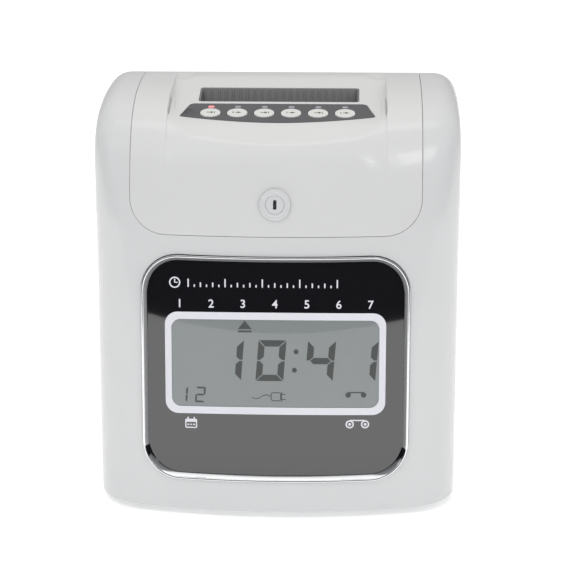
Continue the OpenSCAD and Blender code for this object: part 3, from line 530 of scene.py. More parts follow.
def on_lock(v):
    """x across, y up the cover, z out of it."""
    x, y, z = np.asarray(v, float).T
    c, s = math.cos(LOCK_TILT), math.sin(LOCK_TILT)
    return (np.array([0, LOCK_Y, LOCK_Z]) + np.outer(x, [1, 0, 0]) + np.outer(y, [0, s, c])
            + np.outer(z, [0, -c, s]))


def on_face(x, y, z):
    """A point of the leaning front's frame: x across, y inwards, z up the face."""
    c, s = math.cos(LEAN), math.sin(LEAN)
    return np.stack([x + 0 * z, FRONT_Y + c * y + s * z, LEAN_Z - s * y + c * z], -1)


def bulged(top):
    """place() for something that follows the front's bulge, its face top behind the front surface."""
    def place(x, z, depth):
        d = top + depth
        return on_face(x, FACE_R - np.sqrt((FACE_R - d) ** 2 - x ** 2), z)
    return place


def flat_face(top):
    return lambda x, z, depth: on_face(x, np.full_like(x, top) + depth, z)


def panel(top):
    """place() for a flat piece on the sunk panel, its face top above it."""
    return lambda x, y, depth: on_dish(np.column_stack([x, y, np.full_like(x, top) - depth]))


# ---- Materials ----
NOISE_LOW, NOISE_HIGH = 0.15, 0.85      # the part of a noise's range that is used


class Look:
    """A material built from one shader, with detail nodes linked to its colour, roughness and normal."""

    def __init__(self, name, color, rough, metallic=0.0, **sockets):
        self.material = bpy.data.materials.new(name)
        self.material.use_nodes = True
        self.nodes = self.material.node_tree.nodes
        self.links = self.material.node_tree.links
        self.shader = self.nodes["Principled BSDF"]
        sockets.update(Base_Color=(*color, 1), Roughness=rough, Metallic=metallic)
        for key, value in sockets.items():
            self.shader.inputs[key.replace("_", " ")].default_value = value
        self.color, self.rough = color, rough
        self.coords = self.nodes.new("ShaderNodeTexCoord").outputs["Object"]

    def node(self, kind, **inputs):
        """A new node. A value is set on its socket, and another node's output is linked to it."""
        node = self.nodes.new("ShaderNode" + kind)
        for key, value in inputs.items():
            socket = node.inputs[key.replace("_", " ")]
            if isinstance(value, bpy.types.NodeSocket):
                self.links.new(value, socket)
            else:
                socket.default_value = value
        return node

    def noise(self, scale, detail, stretch):
        vector = self.coords
        if stretch:
            vector = self.node("Mapping", Vector=vector, Scale=stretch).outputs["Vector"]
        return self.node("TexNoise", Vector=vector, Scale=scale, Detail=detail).outputs["Fac"]

    def mottle(self, scale, amount, stretch=None):
        """Slow variation of the colour."""
        dark = [c * (1 - amount) for c in self.color]
        light = [min(1, c * (1 + amount * 0.6)) for c in self.color]
        node = self.node("ValToRGB", Fac=self.noise(scale, 1.5, stretch))
        for element, at, color in zip(node.color_ramp.elements, (NOISE_LOW, NOISE_HIGH), (dark, light)):
            element.position, element.color = at, (*color, 1)
        self.links.new(node.outputs["Color"], self.shader.inputs["Base Color"])
        return self

    def gloss(self, scale, spread, stretch=None):
        """Variation of the roughness, as handling leaves it."""
        node = self.node("MapRange", Value=self.noise(scale, 2, stretch), From_Min=NOISE_LOW,
                         From_Max=NOISE_HIGH, To_Min=max(0.02, self.rough - spread),
                         To_Max=self.rough + spread)
        self.links.new(node.outputs["Result"], self.shader.inputs["Roughness"])
        return self

    def bump(self, scale, height, detail=2.0, stretch=None):
        """Fine relief; height is in millimetres."""
        node = self.node("Bump", Distance=height * MM, Height=self.noise(scale, detail, stretch))
        self.links.new(node.outputs["Normal"], self.shader.inputs["Normal"])
        return self


def plastic(name, color, rough, grain=0.0, grain_scale=2600, vary=0.02, **sockets):
    look = Look(name, color, rough, **sockets).mottle(35, vary).gloss(60, 0.04)
    if grain:
        look.bump(grain_scale, grain)
    return look.material


def metal(name, color, rough, stretch, vary=0.08, grain=0.01):
    look = Look(name, color, rough, 1.0).mottle(90, vary, stretch).gloss(150, 0.06, stretch)
    return look.bump(900, grain, 3.0, stretch).material


CASE_WHITE = plastic("case_white", (0.65, 0.653, 0.658), 0.24, 0.0012, 700, 0.012, Coat_Weight=0.25)
# the cover takes the case's white made a little lighter and warmer: painted warm light on the top
COVER_WHITE_LIT = plastic("cover_white", (0.668, 0.669, 0.67), 0.22, 0.0012, 700, 0.012, Coat_Weight=0.25)
TRAY_GREY = plastic("tray_grey", (0.50, 0.51, 0.52), 0.5, 0.02, 2600, 0.04)
RUBBER = plastic("foot_rubber", (0.035, 0.035, 0.037), 0.75, 0.02, 3000, 0.2)
LOCK_METAL = Look("lock_metal", (0.705, 0.71, 0.72), 0.3, 0.12).mottle(60, 0.02).gloss(120, 0.03).material
CHROME = Look("chrome", (0.80, 0.81, 0.83), 0.09, 1.0).gloss(200, 0.015).material
LENS = Look("lens_black", (0.006, 0.006, 0.008), 0.04, IOR=1.75, Coat_Weight=1.0,
            Coat_Roughness=0.02).gloss(40, 0.01).material
PRINT = plastic("white_print", (0.74, 0.745, 0.80), 0.35)
BLACK = plastic("black_plastic", (0.018, 0.018, 0.02), 0.45, 0.012, 2800, 0.15)
MOUTH = plastic("mouth_grey", (0.185, 0.185, 0.185), 0.5, 0.01, 2800, 0.06)
DARK = plastic("dark_plastic", (0.05, 0.052, 0.058), 0.42, 0.012, 2800, 0.12)
FILM = plastic("label_film", (0.092, 0.092, 0.097), 0.34, 0.004, 3600, 0.08)
KEY_WHITE = plastic("key_white", (0.70, 0.70, 0.69), 0.3, 0.003, 2600)
GLYPH = plastic("dark_print", (0.06, 0.06, 0.07), 0.4, 0.001, 3000)
LED_CLEAR = plastic("led_clear", (0.36, 0.355, 0.40), 0.22, vary=0.05)
LED_RED = Look("led_red", (0.75, 0.22, 0.24), 0.25, Emission_Color=(1.0, 0.30, 0.32, 1),
               Emission_Strength=0.5).gloss(60, 0.04).material
LCD = Look("lcd", (0.222, 0.242, 0.246), 0.3, Coat_Weight=1.0,
           Coat_Roughness=0.02).mottle(18, 0.04).gloss(80, 0.03).material
SEGMENT = plastic("lcd_segment", (0.07, 0.074, 0.074), 0.35, vary=0.05)
GUIDE = plastic("guide_plastic", (0.60, 0.60, 0.57), 0.4, 0.008, 2600, 0.05)
ROLLER = plastic("roller_rubber", (0.03, 0.03, 0.032), 0.7, 0.03, 1800, 0.2)
NYLON = plastic("gear_nylon", (0.74, 0.71, 0.62), 0.42, 0.006, 2200, 0.05)
BELT = plastic("belt_rubber", (0.02, 0.02, 0.021), 0.6, 0.02, 2200, 0.2)
INK = Look("ribbon_ink", (0.018, 0.01, 0.03), 0.85, Sheen_Weight=0.4).mottle(300, 0.3).bump(
    3000, 0.02, 2.0, (1, 1, 0.15)).material
PARTS = plastic("components", (0.03, 0.03, 0.033), 0.4, 0.01, 2200, 0.15)
SHRINK = plastic("battery_wrap", (0.03, 0.25, 0.11), 0.28, 0.015, 500, 0.1)
CABLE = Look("cable_grey", (0.36, 0.38, 0.42), 0.45).mottle(60, 0.08).bump(
    400, 0.25, 0.0, (9, 0.01, 0.01)).material
STEEL = metal("steel", (0.60, 0.61, 0.63), 0.34, (1, 1, 12))
ROD = metal("rod_steel", (0.74, 0.75, 0.77), 0.16, (0.1, 6, 6), 0.04, 0.003)
BRASS = metal("brass", (0.72, 0.53, 0.22), 0.28, (1, 8, 8))
MOTOR = metal("motor_steel", (0.48, 0.49, 0.51), 0.36, (8, 1, 1))
ALU = metal("head_alu", (0.52, 0.53, 0.56), 0.42, None, 0.12, 0.03)
CORE = Look("transformer", (0.16, 0.165, 0.175), 0.5, 0.6).mottle(60, 0.15).bump(
    900, 0.15, 0.0, (0.02, 0.02, 1)).material


def board_look():
    """Solder mask over a grid of copper tracks."""
    look = Look("board_green", (0.012, 0.11, 0.045), 0.3, Coat_Weight=0.5)
    upright = look.node("Mapping", Vector=look.coords, Rotation=(math.radians(90), 0, 0))
    tracks = look.node("TexBrick", Vector=upright.outputs["Vector"], Scale=190, Mortar_Size=0.035,
                       Color1=(0.010, 0.095, 0.04, 1), Color2=(0.014, 0.12, 0.05, 1),
                       Mortar=(0.03, 0.19, 0.07, 1))
    look.links.new(tracks.outputs["Color"], look.shader.inputs["Base Color"])
    return look.bump(900, 0.02).material


BOARD = board_look()

# ---- CAD nodes that are shown as they are: their looks, and the bevels of the edges that can be seen ----
NODE_LOOKS = [
    (TRAY_GREY, "rear_cover base_tray"),
    (STEEL, "chassis carriage_plate lock_cam lock_nut base_screws rear_screws cover_screws inner_screws"),
    (ROD, "hinge_pins feed_shaft pinch_shaft guide_rods"),
    (BOARD, "key_board lcd_board main_board"),
    (PARTS, "key_switches board_parts"),
    (BLACK, "lcd_shroud ribbon_cartridge power_inlet"),
    (DARK, "carriage ribbon_knob"),
    (GUIDE, "lcd_frame card_guide_front card_guide_rear"),
    (ROLLER, "platen feed_rollers pinch_rollers"),
    (NYLON, "feed_gear idler_pulley"),
    (BRASS, "feed_pinion drive_pulley"),
    (MOTOR, "feed_motor carriage_motor"),
    (ALU, "print_head"), (BELT, "belt"), (INK, "ribbon"), (CORE, "transformer"), (SHRINK, "battery_pack"),
]
for node_look, node_names in NODE_LOOKS:
    for node_name in node_names.split():
        NODES[node_name].data.materials.clear()
        NODES[node_name].data.materials.append(node_look)

NODE_BEVELS = {
    "rear_cover": 0.5, "base_tray": 0.5, "lcd_frame": 0.4, "card_guide_front": 0.3, "card_guide_rear": 0.3,
    "chassis": 0.3, "ribbon_cartridge": 0.8, "carriage": 0.4, "power_inlet": 0.4, "ribbon_knob": 0.5,
    "carriage_plate": 0.3, "board_parts": 0.25, "key_switches": 0.2, "print_head": 0.2, "platen": 0.4,
    "lock_cam": 0.2, "lock_nut": 0.3, "transformer": 0.4,
}
for node_name, width in NODE_BEVELS.items():
    soft = NODES[node_name].modifiers.new("edges", "BEVEL")
    soft.width = width * MM
    soft.segments = 2
    soft.limit_method = "ANGLE"
    soft.angle_limit = math.radians(40)

# ---- Case and cover ----
outside = surface(case_points)


def cover_outline(half, low, r, back, count):
    """The cover's outline: over the front to the height low, and down the back to the height back."""
    left = front_view(arc(r - half, low + r, r, 180, 270, count))
    right = front_view(arc(half - r, low + r, r, -90, 0, count))
    return np.concatenate([left, right, back_view(np.array([[half, back], [-half, back]]))])


def housing():
    """The case: one skin with holes for the cover, the window and the rear cover."""
    cover_hole = cover_outline(COVER_HALF_W + SEAM_GAP, COVER_Z - SEAM_GAP, COVER_CORNER_R + SEAM_GAP,
                               HINGE_Z - 3.75, 10)
    window = resample(rounded(TRIM_W + 0.3, TRIM_H + 0.3, TRIM_R + 0.15, 0, TRIM_Z), 2.4)
    window[:, 1] = face_z(window[:, 1])
    rear = rounded(REAR_OPEN_W, REAR_OPEN_HIGH - REAR_OPEN_LOW, 4, 0, (REAR_OPEN_LOW + REAR_OPEN_HIGH) / 2, 4)
    rear = back_view(resample(rear, 4))
    outline = np.array([[-SIDE_END, 0], [SIDE_END, 0], [SIDE_END, Q_END], [-SIDE_END, Q_END]])
    holes = [cover_hole, front_view(window), rear]
    parts = Parts().plate(outline, holes, outside, WALL, 2.4, 0.3)
    for s in (-1, 1):
        at_rear, at_base, knuckle = [sorted((s * a, s * b)) for a, b in ((75.5, 98), (83, 98), (62, 72))]
        for z in (20, 188):      # bosses for the rear cover's screws
            parts.add(*block(*at_rear, REAR_Y - WALL - 11, REAR_Y - WALL - 0.1, z - 5, z + 5))
        for y in (-18, 56):      # bosses for the base's screws
            parts.add(*block(*at_base, y - 5, y + 5, FOOT_H + 3.6, FOOT_H + 14))
        for z in (54, 83):      # posts for the display's frame
            parts.plate(disc(2.5, s * 78.4, z, 24), [], flat_face(13.4), 2.15, 0, 0.2)
        # a hinge knuckle and its bracket
        parts.add(*rod(*knuckle, HINGE_Y, HINGE_Z, HINGE_R))
        parts.add(*block(*knuckle, HINGE_Y - HINGE_R, HINGE_Y + 1, HINGE_Z - 14, HINGE_Z))
    # the catch that the lock's cam holds
    parts.add(*block(-9, 9, -62, -52.97, 151.4, 153.2))
    parts.add(*block(-9, 9, -54.97, -52.97, 143, 153.2))
    parts.make("case_shell", CASE_WHITE, "case", "case_white", replaces=["housing"])


def label_form(grow):
    """The key label's outline: a curved front edge, two slanting ends and small corners."""
    sweep = math.asin((LABEL_HALF - 1) / (LABEL_FRONT_R - 1))
    corner = LABEL_FRONT_R - (LABEL_FRONT_R - 1) * math.cos(sweep)
    sweep = math.degrees(sweep)
    front = arc(0, LABEL_FRONT_R, LABEL_FRONT_R + grow, sweep - 0.2 - 90, -sweep + 0.2 - 90, 16)[::-1]
    right = [arc(LABEL_HALF - 1, corner, 1 + grow, sweep - 90, LABEL_SLANT, 4),
             arc(LABEL_HALF - 7, LABEL_REAR - 3, 3 + grow, LABEL_SLANT, 90, 5)]
    left = [loop[::-1] * [-1, 1] for loop in reversed(right)]
    return np.concatenate([front, *right, *left])


def key_x(i):
    return (i - (KEY_COUNT - 1) / 2) * KEY_PITCH


def key_holes():
    """Openings for the keys and for the lamps above them."""
    keys = [disc(KEY_R + 0.3, key_x(i), KEY_ROW, 32) for i in range(KEY_COUNT)]
    return keys + [rounded(3.8, 2.9, 1.3, key_x(i), LED_ROW, 5) for i in range(KEY_COUNT)]


def cover():
    """The cover: a skin with the sunk panel, holes for the lock, label and slot, and a hinge barrel."""
    outline = cover_outline(COVER_HALF_W, COVER_Z, COVER_CORNER_R, HINGE_Z + 1.5, 12)
    x, up = disc(LOCK_R + 0.1, 0, 0).T
    lock = front_view(np.column_stack([x, LOCK_Z + up * math.cos(LOCK_TILT)]))
    label = panel_view(resample(label_form(0.2), 1.5))
    slot = panel_view(resample(rounded(MOUTH_W + 0.2, MOUTH_D + 0.2, MOUTH_R + 0.1, 0, MOUTH_AT, 4), 1.5))
    fine = DISH_EDGE + np.concatenate([np.arange(-9.1, -2.2, 0.7), np.arange(-2.0, 1.3, 0.25)])
    parts = Parts().plate(outline, [lock, label, slot], surface(cover_points), WALL, 1.4, 0.3,
                          np.concatenate([-fine, fine]))
    # the floor under the label
    parts.plate(label_form(1.2), key_holes(), panel(-0.52), 2.0)
    parts.add(*rod(-60, 60, HINGE_Y, HINGE_Z, HINGE_R))
    # posts for the key board's screws
    for x in (-46, 46):
        for y in (3.5, 20):
            parts.plate(disc(2.6, x, y, 24), [disc(1.05, x, y, 16)], panel(-2.3), 7.15)
    # its white carries painted warm light on the top
    parts.make("top_cover_shell", COVER_WHITE_LIT, "cover", "cover_white", replaces=["top_cover"])


housing()
cover()


# ---- Window ----
def trim_ring(inward, y_top):
    """The trim's outline moved inwards, with its straight runs divided so that they follow the bulge."""
    loop = rounded(TRIM_W - 2 * inward, TRIM_H - 2 * inward, TRIM_R - inward, 0, TRIM_Z, 20)
    pairs = zip(loop, np.roll(loop, -1, 0))
    runs = [np.linspace(a, b, 13)[:-1] if np.linalg.norm(b - a) > 20 else [a] for a, b in pairs]
    x, z = np.concatenate(runs).T
    return bulged(y_top)(x, z, 0.0)


def window_trim():
    """A chrome frame: a narrow rounded lip and a bevel that falls to the lens."""
    # (distance inwards from the outline, depth behind the front's surface)
    lip = [(0.0, 4.6), (0.0, -0.7), (0.06, -1.0), (0.2, -1.25), (0.42, -1.38), (0.65, -TRIM_PROUD),
           (0.9, -1.36)]
    bevel = [(1.12, -1.22), (1.35, -0.9), (2.95, 1.7), (3.2, 2.2), (3.25, 2.4), (3.25, 4.6)]
    verts, faces = loft([trim_ring(i, y) for i, y in lip + bevel])
    make("chrome_trim", verts, faces, CHROME, "case", "chrome", replaces=["window_trim"], sharp=50)


def level(loop):
    """Lowers an outline towards the window's sides, so that it looks level from a little above."""
    sag = FACE_R - np.sqrt(FACE_R ** 2 - loop[:, 0] ** 2)
    return loop - np.column_stack([0 * sag, LEVEL * sag])


def on_window(top):
    return lambda x, z, depth: bulged(top)(x, level(np.column_stack([x, z]))[:, 1], depth)


def display_lens():
    outline = rounded(TRIM_W - 5, TRIM_H - 5, TRIM_R - 2.5, 0, TRIM_Z, 16)
    hole = level(resample(rounded(LCD_W, LCD_H, LCD_R, 0, LCD_Z, 8), 3))
    verts, faces = plate(outline, [hole], bulged(LENS_TOP), LENS_T, 4.0, 0.15)
    make("window_lens", verts, faces, LENS, "case", "lens_black", replaces=["display_lens"])


def lcd():
    """The display: a pane in the lens over the glass block."""
    parts = Parts()
    pane = rounded(LCD_W - 0.1, LCD_H - 0.1, LCD_R - 0.05, 0, LCD_Z)
    parts.plate(pane, [], on_window(LCD_PANE), 1.7, 4.0, 0.08)
    parts.plate(rounded(119, 55, 0.6, 0, LCD_Z), [], flat_face(LCD_DEPTH), 2.4, 0, 0.2)
    parts.make("lcd_panel", LCD, "case", "lcd", replaces=["lcd_glass"])


def clock_glyph(x, z, r):
    ring = (disc(r, x, z, 40), [disc(r - 0.75, x, z, 40)])
    hands = stroke([(x, z + 0.62 * r), (x, z), (x + 0.5 * r, z)], 0.7)
    return [ring, (hands, [])]


def calendar_glyph(x, z):
    w, h = 6.6, 5.2
    leaf = rounded(w, h, 0.7, x, z - 0.3, 4)
    window = rounded(w - 1.3, h - 2.4, 0.3, x, z - 0.85, 3)
    rings = [(rounded(0.8, 1.6, 0.3, x + dx, z + h / 2, 3), []) for dx in (-1.7, 1.7)]
    dots = [(rounded(1.0, 0.8, 0.2, x + dx, z - 0.9, 2), []) for dx in (-1.6, 0, 1.6)]
    return [(leaf, [window])] + rings + dots


def ribbon_glyph(x, z, r):
    """Two spools with a band between them."""
    a, b, band = x - 4.2, x + 4.2, z + r - 0.1
    spools = [(disc(r, at, z, 32), [disc(r - 0.8, at, z, 24)]) for at in (a, b)]
    hubs = [(disc(0.8, at, z, 16), []) for at in (a, b)]
    return spools + [(stroke([(a, band), (b, band)], 0.7), [])] + hubs


def window_print():
    """White print on the lens: the display's frame, an hour scale, the days' numerals and plain symbols."""
    on_lens = on_window(LENS_TOP - 0.05)
    parts = Parts()
    frame_outline = resample(rounded(FRAME_W, FRAME_H, FRAME_R, 0, LCD_Z, 8), 3)
    inner = resample(rounded(LCD_W, LCD_H, LCD_R, 0, LCD_Z, 8), 3)
    parts.plate(frame_outline, [inner], on_lens, PRINT_T)
    for day in range(7):
        day_number = numeral(str(day + 1), DAY_H, DAY_X + DAY_PITCH * day, DAY_Z)
        parts.add(*prism(*day_number, on_lens, PRINT_T))
    marks = clock_glyph(*CLOCK_AT, 3.1) + calendar_glyph(*CALENDAR_AT) + ribbon_glyph(*RIBBON_AT, 2.3)
    for hour in range(25):
        tall = 4.6 if hour % 6 == 0 else 2.6 if hour % 2 == 0 else 1.5
        tick = rounded(0.75, tall, 0.3, HOUR_X + hour * HOUR_SPAN / 24, HOUR_Z + tall / 2, 3)
        marks.append((tick, []))
    for outline, holes in marks:
        parts.plate(outline, holes, on_lens, PRINT_T)
    parts.make("window_print", PRINT, "case", "case_white")


SEGMENTS = {"0": "abcdef", "1": "bc", "2": "abged", "4": "fgbc"}


def digit(text, right, top, w, h, t, gap):
    """Outlines of a seven-segment digit whose upper right corner is at (right, top)."""
    m = h / 2
    shapes = {
        "a": [(-w + gap, h), (-gap, h), (-t - gap, h - t), (-w + t + gap, h - t)],
        "d": [(-w + gap, 0), (-gap, 0), (-t - gap, t), (-w + t + gap, t)],
        "b": [(0, h - gap), (0, m + gap), (-t * 0.45, m + gap), (-t, m + t / 2 + gap), (-t, h - t - gap)],
        "c": [(0, gap), (0, m - gap), (-t * 0.45, m - gap), (-t, m - t / 2 - gap), (-t, t + gap)],
        "g": [(-w + t * 0.55, m), (-w + t + gap, m + t / 2), (-t - gap, m + t / 2),
              (-t * 0.55, m), (-t - gap, m - t / 2), (-w + t + gap, m - t / 2)],
    }
    shapes["f"] = [(-w - x, z) for x, z in shapes["b"]]
    shapes["e"] = [(-w - x, z) for x, z in shapes["c"]]
    return [np.array([(right + x + (z - h) * DIGIT_SLANT, top - h + z) for x, z in shapes[k]])
            for k in SEGMENTS[text]]


def lcd_marks():
    """What the display shows: the time, a small date, a day marker, a plug and a ribbon sign."""
    on_pane = on_window(LCD_PANE - 0.05)
    shapes = []
    for text, right in zip("1041", (-16.7, 6.3, 33.1, 56.2)):
        shapes += digit(text, right, TIME_TOP, *TIME_DIGIT)
    for text, right in zip("12", (-47.5, -37.7)):
        shapes += digit(text, right, DATE_TOP, *DATE_DIGIT)
    # colon
    shapes += [disc(1.35, 11.5, TIME_TOP - 6.3, 24), disc(1.35, 10.6, TIME_TOP - 16.6, 24)]
    # day marker: an arrowhead over a bar
    left, right = -20.0, -12.6
    bar_low, bar_high, arrow, tip = TIME_TOP + 4.2, TIME_TOP + 5.2, TIME_TOP + 6.0, TIME_TOP + 10.8
    shapes += [np.array([(left, arrow), (right, arrow), ((left + right) / 2, tip)]),
               np.array([(left, bar_low), (right, bar_low), (right, bar_high), (left, bar_high)])]
    # plug and lead
    t = np.linspace(0, 1, 24)
    lead = np.column_stack([-12.6 + 10.4 * t, PLUG_Z - 0.3 - 1.0 * np.sin(2 * math.pi * t) + 0.4 * t])
    shapes += [stroke(lead, 0.42)]
    body = rounded(5.6, 5.0, 1.4, 0.6, PLUG_Z, 4)
    pins = [stroke([(3.5, PLUG_Z + z), (5.9, PLUG_Z + z)], 0.5) for z in (-1.4, 1.4)]
    pins += [stroke([(3.7, PLUG_Z - 2.7), (3.7, PLUG_Z + 2.7)], 0.5)]
    parts = Parts()
    parts.plate(body, [inset(body, 0.45)], on_pane, PRINT_T)
    for outline, holes in ribbon_glyph(44, LCD_Z - 17.2, 1.5):
        parts.plate(outline, holes, on_pane, PRINT_T)
    for outline in shapes + pins:
        parts.plate(outline, [], on_pane, PRINT_T)
    parts.make("lcd_marks", SEGMENT, "case", "lcd")


window_trim()
display_lens()
lcd()
window_print()
lcd_marks()


# ---- Sunk panel ----
def key_label():
    verts, faces = plate(label_form(0), key_holes(), panel(0.02), 0.5, 0, 0.12)
    make("label_film", verts, faces, FILM, "cover", "label_film", replaces=["key_label"], sharp=10)


def status_key(i):
    """A cap with a soft rim and a shallow hollow, on its flange and stem."""
    stem = [(0.01, -4.8), (2.0, -4.8), (2.0, -3.7), (6.6, -3.7), (6.6, -2.9), (KEY_R, -2.9)]
    rim = [(KEY_R, 0.05), (KEY_R - 0.06, 0.25), (KEY_R - 0.2, 0.4), (KEY_R - 0.5, 0.48)]
    profile = stem + rim + [(KEY_R - 1.6, 0.46), (2.0, 0.42), (0.01, 0.4)]
    verts, faces = lathe(profile, lambda v: on_dish(v + [key_x(i), KEY_ROW, 0]), 48)
    number, body = i + 1, f"button_{i + 1}"
    make(f"key_cap_{number}", verts, faces, KEY_WHITE, body, "key_white", replaces=[f"key_{number}"])
    # an arrow and a bar: before it on one key, behind it on the next
    side = -1 if i % 2 else 1
    x, y = key_x(i), KEY_ROW
    bar = [(x + side * 2.3, y - 1.0), (x + side * 2.3, y + 1.0)]
    shaft = [(x - side * 2.1, y), (x + side * 1.2, y)]
    tip = [(x + 0.3, y + 0.9), (x + 1.5, y), (x + 0.3, y - 0.9)]
    parts = Parts()
    for line in (bar, shaft, tip):
        parts.plate(stroke(line, 0.42), [], panel(0.51), 0.1)
    parts.make(f"key_mark_{number}", GLYPH, body, "label_film")


def card_mouth():
    """The funnel under the slot: a collar in the cover's opening, with ribs down its rear wall."""
    def ring(narrower, d, r, forward, depth):
        loop = rounded(MOUTH_W - narrower, d, r, 0, MOUTH_AT - forward, 5)
        return on_dish(np.column_stack([loop, np.full(len(loop), -depth)]))
    collar = [(0, MOUTH_D, MOUTH_R, 0, 2.5), (0, MOUTH_D, MOUTH_R, 0, 0.5),
              (0.6, MOUTH_D - 0.6, MOUTH_R - 0.3, 0, 0.2), (1.6, MOUTH_D - 1.6, MOUTH_R - 0.6, 0, 0.3)]
    inside = [(2.2, 8.5, 0.8, 1.6, 8.5), (2.2, 6.4, 0.6, 2.6, 15.5)]
    outer = [(0.4, 8.0, 0.8, 2.6, 15.5), (0.4, 10.6, 0.8, 1.6, 8.5)]
    parts = Parts().add(*loft([ring(*sizes) for sizes in collar + inside + outer]))
    ribs, rib_pitch, rib_half, rib_height = 22, 4.0, 0.3, 0.7
    high, low = (MOUTH_AT + 8.9, -0.6), (MOUTH_AT + 2.4, -8.6)
    for k in range(ribs):
        x = (k - (ribs - 1) / 2) * rib_pitch
        left, right = x - rib_half, x + rib_half
        wall = on_dish([(left, *high), (right, *high), (right, *low), (left, *low)])
        parts.add(*loft([wall - rib_height * DISH_ALONG, wall], closed=False, caps=True))
    parts.make("slot_mouth", MOUTH, "cover", "black_plastic", replaces=["card_mouth"])


def lamps(name, which, material, slot, node):
    parts = Parts()
    for i in which:
        window = rounded(3.6, 2.7, 1.2, key_x(i), LED_ROW, 6)
        parts.plate(window, [], panel(0.14), 3.1, 0, 0.3)
        parts.plate(rounded(5.2, 3.4, 0.5, key_x(i), LED_ROW, 3), [], panel(-2.9), 1.1, 0, 0.2)
    parts.make(name, material, "cover", slot, replaces=[node], sharp=10)


card_mouth()
key_label()
for key_index in range(KEY_COUNT):
    status_key(key_index)
lamps("lamp_windows", range(1, KEY_COUNT), LED_CLEAR, "led_clear", "led_lenses")
lamps("lamp_window_lit", [0], LED_RED, "led_red", "led_lens_lit")


# ---- Lock, feet and cable ----
def lock():
    """A flanged barrel with turned rings, and its plug with a keyhole."""
    flange = [(8.2, 0.2), (8.4, 0.4), (8.4, 0.9), (8.25, 1.15), (7.95, 1.25)]
    rings = [(6.6, 1.25), (6.45, 1.18), (6.3, 1.25), (5.25, 1.25), (5.06, 1.12)]
    barrel = [(LOCK_R, -LOCK_LEN), (LOCK_R, 0.2), *flange, *rings, (5.06, -LOCK_LEN)]
    verts, faces = lathe(barrel, on_lock, 72, hollow=True)
    make("lock_body", verts, faces, LOCK_METAL, "cover", "chrome", replaces=["lock_barrel"])

    def place(x, y, depth):
        return on_lock(np.column_stack([x, y, np.full_like(x, 1.1) - depth]))
    # the plug: a face with a keyhole, a core behind it and a square end for the cam
    slot = rounded(1.9, 5.0, 0.35, 0, 0, 4)
    parts = Parts().plate(disc(PLUG_R, 0, 0, 48), [slot], place, 9.05, 0, 0.15)
    core = [(0.01, -LOCK_LEN - 1), (PLUG_R, -LOCK_LEN - 1), (PLUG_R, -7.9), (0.01, -7.9)]
    parts.add(*lathe(core, on_lock, 48))
    verts, faces = block(-2.2, 2.2, -2.2, 2.2, -LOCK_LEN - 3.4, -LOCK_LEN - 0.9, 0.2)
    parts.add(on_lock(verts), faces)
    parts.make("lock_core", LOCK_METAL, "lock", "chrome", replaces=["lock_plug"])


def feet():
    parts = Parts()
    pad = [(0.01, 0), (5.9, 0), (6.35, 0.12), (6.6, 0.5), (7.3, 4.4), (7.3, 4.98)]
    plug = [(3.0, 4.98), (3.0, 7.4), (0.01, 7.4)]
    for x in (-FOOT_X, FOOT_X):
        for y in FOOT_Y:
            parts.add(*lathe(pad + plug, lambda v, x=x, y=y: v + [x, y, 0], 48))
    parts.make("feet", RUBBER, "case", "foot_rubber", replaces=["rubber_feet"])


def key_cable():
    """A flat cable of eight wires that bends where the cover is hinged."""
    route = np.array([[-15, 202.2], [-8, 201], [4, 200], [18, 201], [34, 204], [48, 205], [57, 202.5],
                      [61, 197], [60.5, 188], [57.5, 179], [56, 174.3]])      # (y, z)
    far = travelled(route)
    at = np.linspace(0, far[-1], 90)
    line = np.column_stack([np.interp(at, far, route[:, k]) for k in (0, 1)])
    centre, half, wires = 51.4, 3.1, 8
    x = np.linspace(-half, half, wires * 4 + 1)
    crown = 0.16 + 0.1 * np.abs(np.sin(np.linspace(0, wires * math.pi, len(x))))
    section = np.concatenate([np.column_stack([x, crown]), np.column_stack([x[::-1], -crown[::-1]])])
    across, out = section.T
    rings = [np.column_stack([centre + across, p[0] + out * m[0], p[1] + out * m[1]])
             for p, m in zip(line, left_of(line))]
    verts, faces = loft(rings, closed=False, caps=True)
    mesh = bpy.data.meshes.new("ribbon_cable")
    mesh.from_pydata((verts * MM).tolist(), [], faces)
    mesh.shade_smooth()
    mesh.materials.append(CABLE)
    obj = linked("ribbon_cable", mesh)
    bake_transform(obj)
    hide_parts("key_cable")


lock()
feet()
key_cable()


# ---- Camera, lights and floor ----
def camera():
    target = Vector((4.9, 0, 113)) * MM
    azimuth, elevation, distance = math.radians(2), math.radians(15), 1.1
    back = Vector((math.sin(azimuth) * math.cos(elevation), -math.cos(azimuth) * math.cos(elevation),
                   math.sin(elevation)))
    data = bpy.data.cameras.new("camera")
    data.lens, data.sensor_width = 120.6, 36
    obj = linked("camera", data)
    obj.location = target + back * distance
    obj.rotation_euler = (-back).to_track_quat("-Z", "Y").to_euler()
    bpy.context.scene.camera = obj


def stage_sheet(name, points, color, glow=0.0):
    """A plain sheet of the studio; glow lets the floor stay pale far from the lights."""
    mesh = bpy.data.meshes.new(name)
    mesh.from_pydata(points, [], [tuple(range(len(points)))])
    look = Look(name, color, 0.9, Emission_Color=(1, 1, 1, 1), Emission_Strength=glow)
    mesh.materials.append(look.material)
    obj = linked(name, mesh)
    return obj


def dark_card(name, points):
    """A dark sheet that only reflections see, for the dim room in front of the clock."""
    card = stage_sheet(name, points, (0.012, 0.012, 0.013))
    card.visible_camera = card.visible_diffuse = card.visible_shadow = card.visible_transmission = False


def light(name, place, aim, size, power, color=(1, 1, 1), seen=False):
    data = bpy.data.lights.new(name, "AREA")
    data.shape, data.energy, data.color = "RECTANGLE", power, color
    data.size, data.size_y = size
    obj = linked(name, data)
    obj.location = place
    obj.rotation_euler = (Vector(aim) - Vector(place)).to_track_quat("-Z", "Y").to_euler()
    obj.visible_glossy = seen


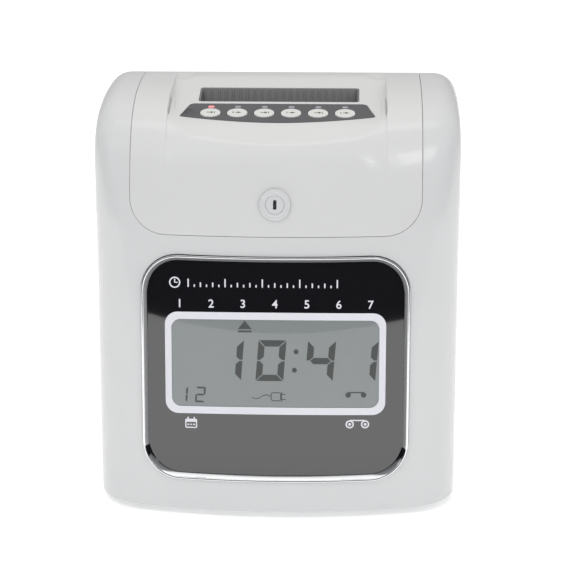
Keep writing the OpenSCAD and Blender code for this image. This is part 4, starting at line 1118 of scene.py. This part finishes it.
def studio():
    world = bpy.data.worlds.new("world")
    world.use_nodes = True
    sky = world.node_tree.nodes["Background"].inputs
    sky["Color"].default_value = (0.97, 0.98, 1.0, 1)
    sky["Strength"].default_value = 0.44
    bpy.context.scene.world = world
    bpy.context.scene.view_settings.view_transform = "Standard"
    def floor(name, y, z, glow):
        return stage_sheet(name, [(-4, y, z), (4, y, z), (4, 6, z), (-4, 6, z)], (0.9, 0.9, 0.9), glow)
    floor("floor", -4, 0, 0.41)
    # only the camera sees this one: it keeps the distance as pale as the floor near the clock
    far_floor = floor("far_floor", 0.8, 0.002, 0.6)
    far_floor.visible_diffuse = far_floor.visible_glossy = far_floor.visible_shadow = False
    # where the dim floor ends, the window's reflection turns from dark to pale
    edge = [(x, -0.622 + 0.35 * x * x, 0.001) for x in np.linspace(1.6, -1.6, 33)]
    dark_card("dim_floor", [(-4, -4, 0.001), (4, -4, 0.001), (4, 0.27, 0.001), *edge, (-4, 0.27, 0.001)])
    dark_card("dim_room", [(-4, -3, 0), (4, -3, 0), (4, -3, 2.6), (-4, -3, 2.6)])
    dark_card("dim_left", [(-3, -3, 0), (-3, -3, 1.4), (-3, 0.6, 1.4), (-3, 0.6, 0)])
    dark_card("dim_right", [(3, -3, 0), (3, 0.6, 0), (3, 0.6, 1.4), (3, -3, 1.4)])
    light("key", (-0.7, -1.0, 1.5), (0, 0, 0.1), (1.0, 1.0), 9)
    light("fill", (1.1, -0.9, 0.9), (0, 0, 0.12), (1.0, 1.0), 4)
    light("top", (0, 0.4, 1.6), (0, 0.0, 0.1), (1.4, 1.0), 8, (1.0, 0.98, 0.89))
    light("ceiling", (0, -0.2, 1.7), (0, -0.2, 0), (1.3, 0.3), 1.6, (1.0, 0.99, 0.96), seen=True)
    light("window", (1.0, -1.5, 1.3), (0, 0, 0.15), (0.25, 0.4), 1.4, seen=True)
    light("streak", (-1.6, -0.9, 0.9), (0, 0, 0.15), (0.08, 0.9), 0.5, seen=True)


camera()
studio()
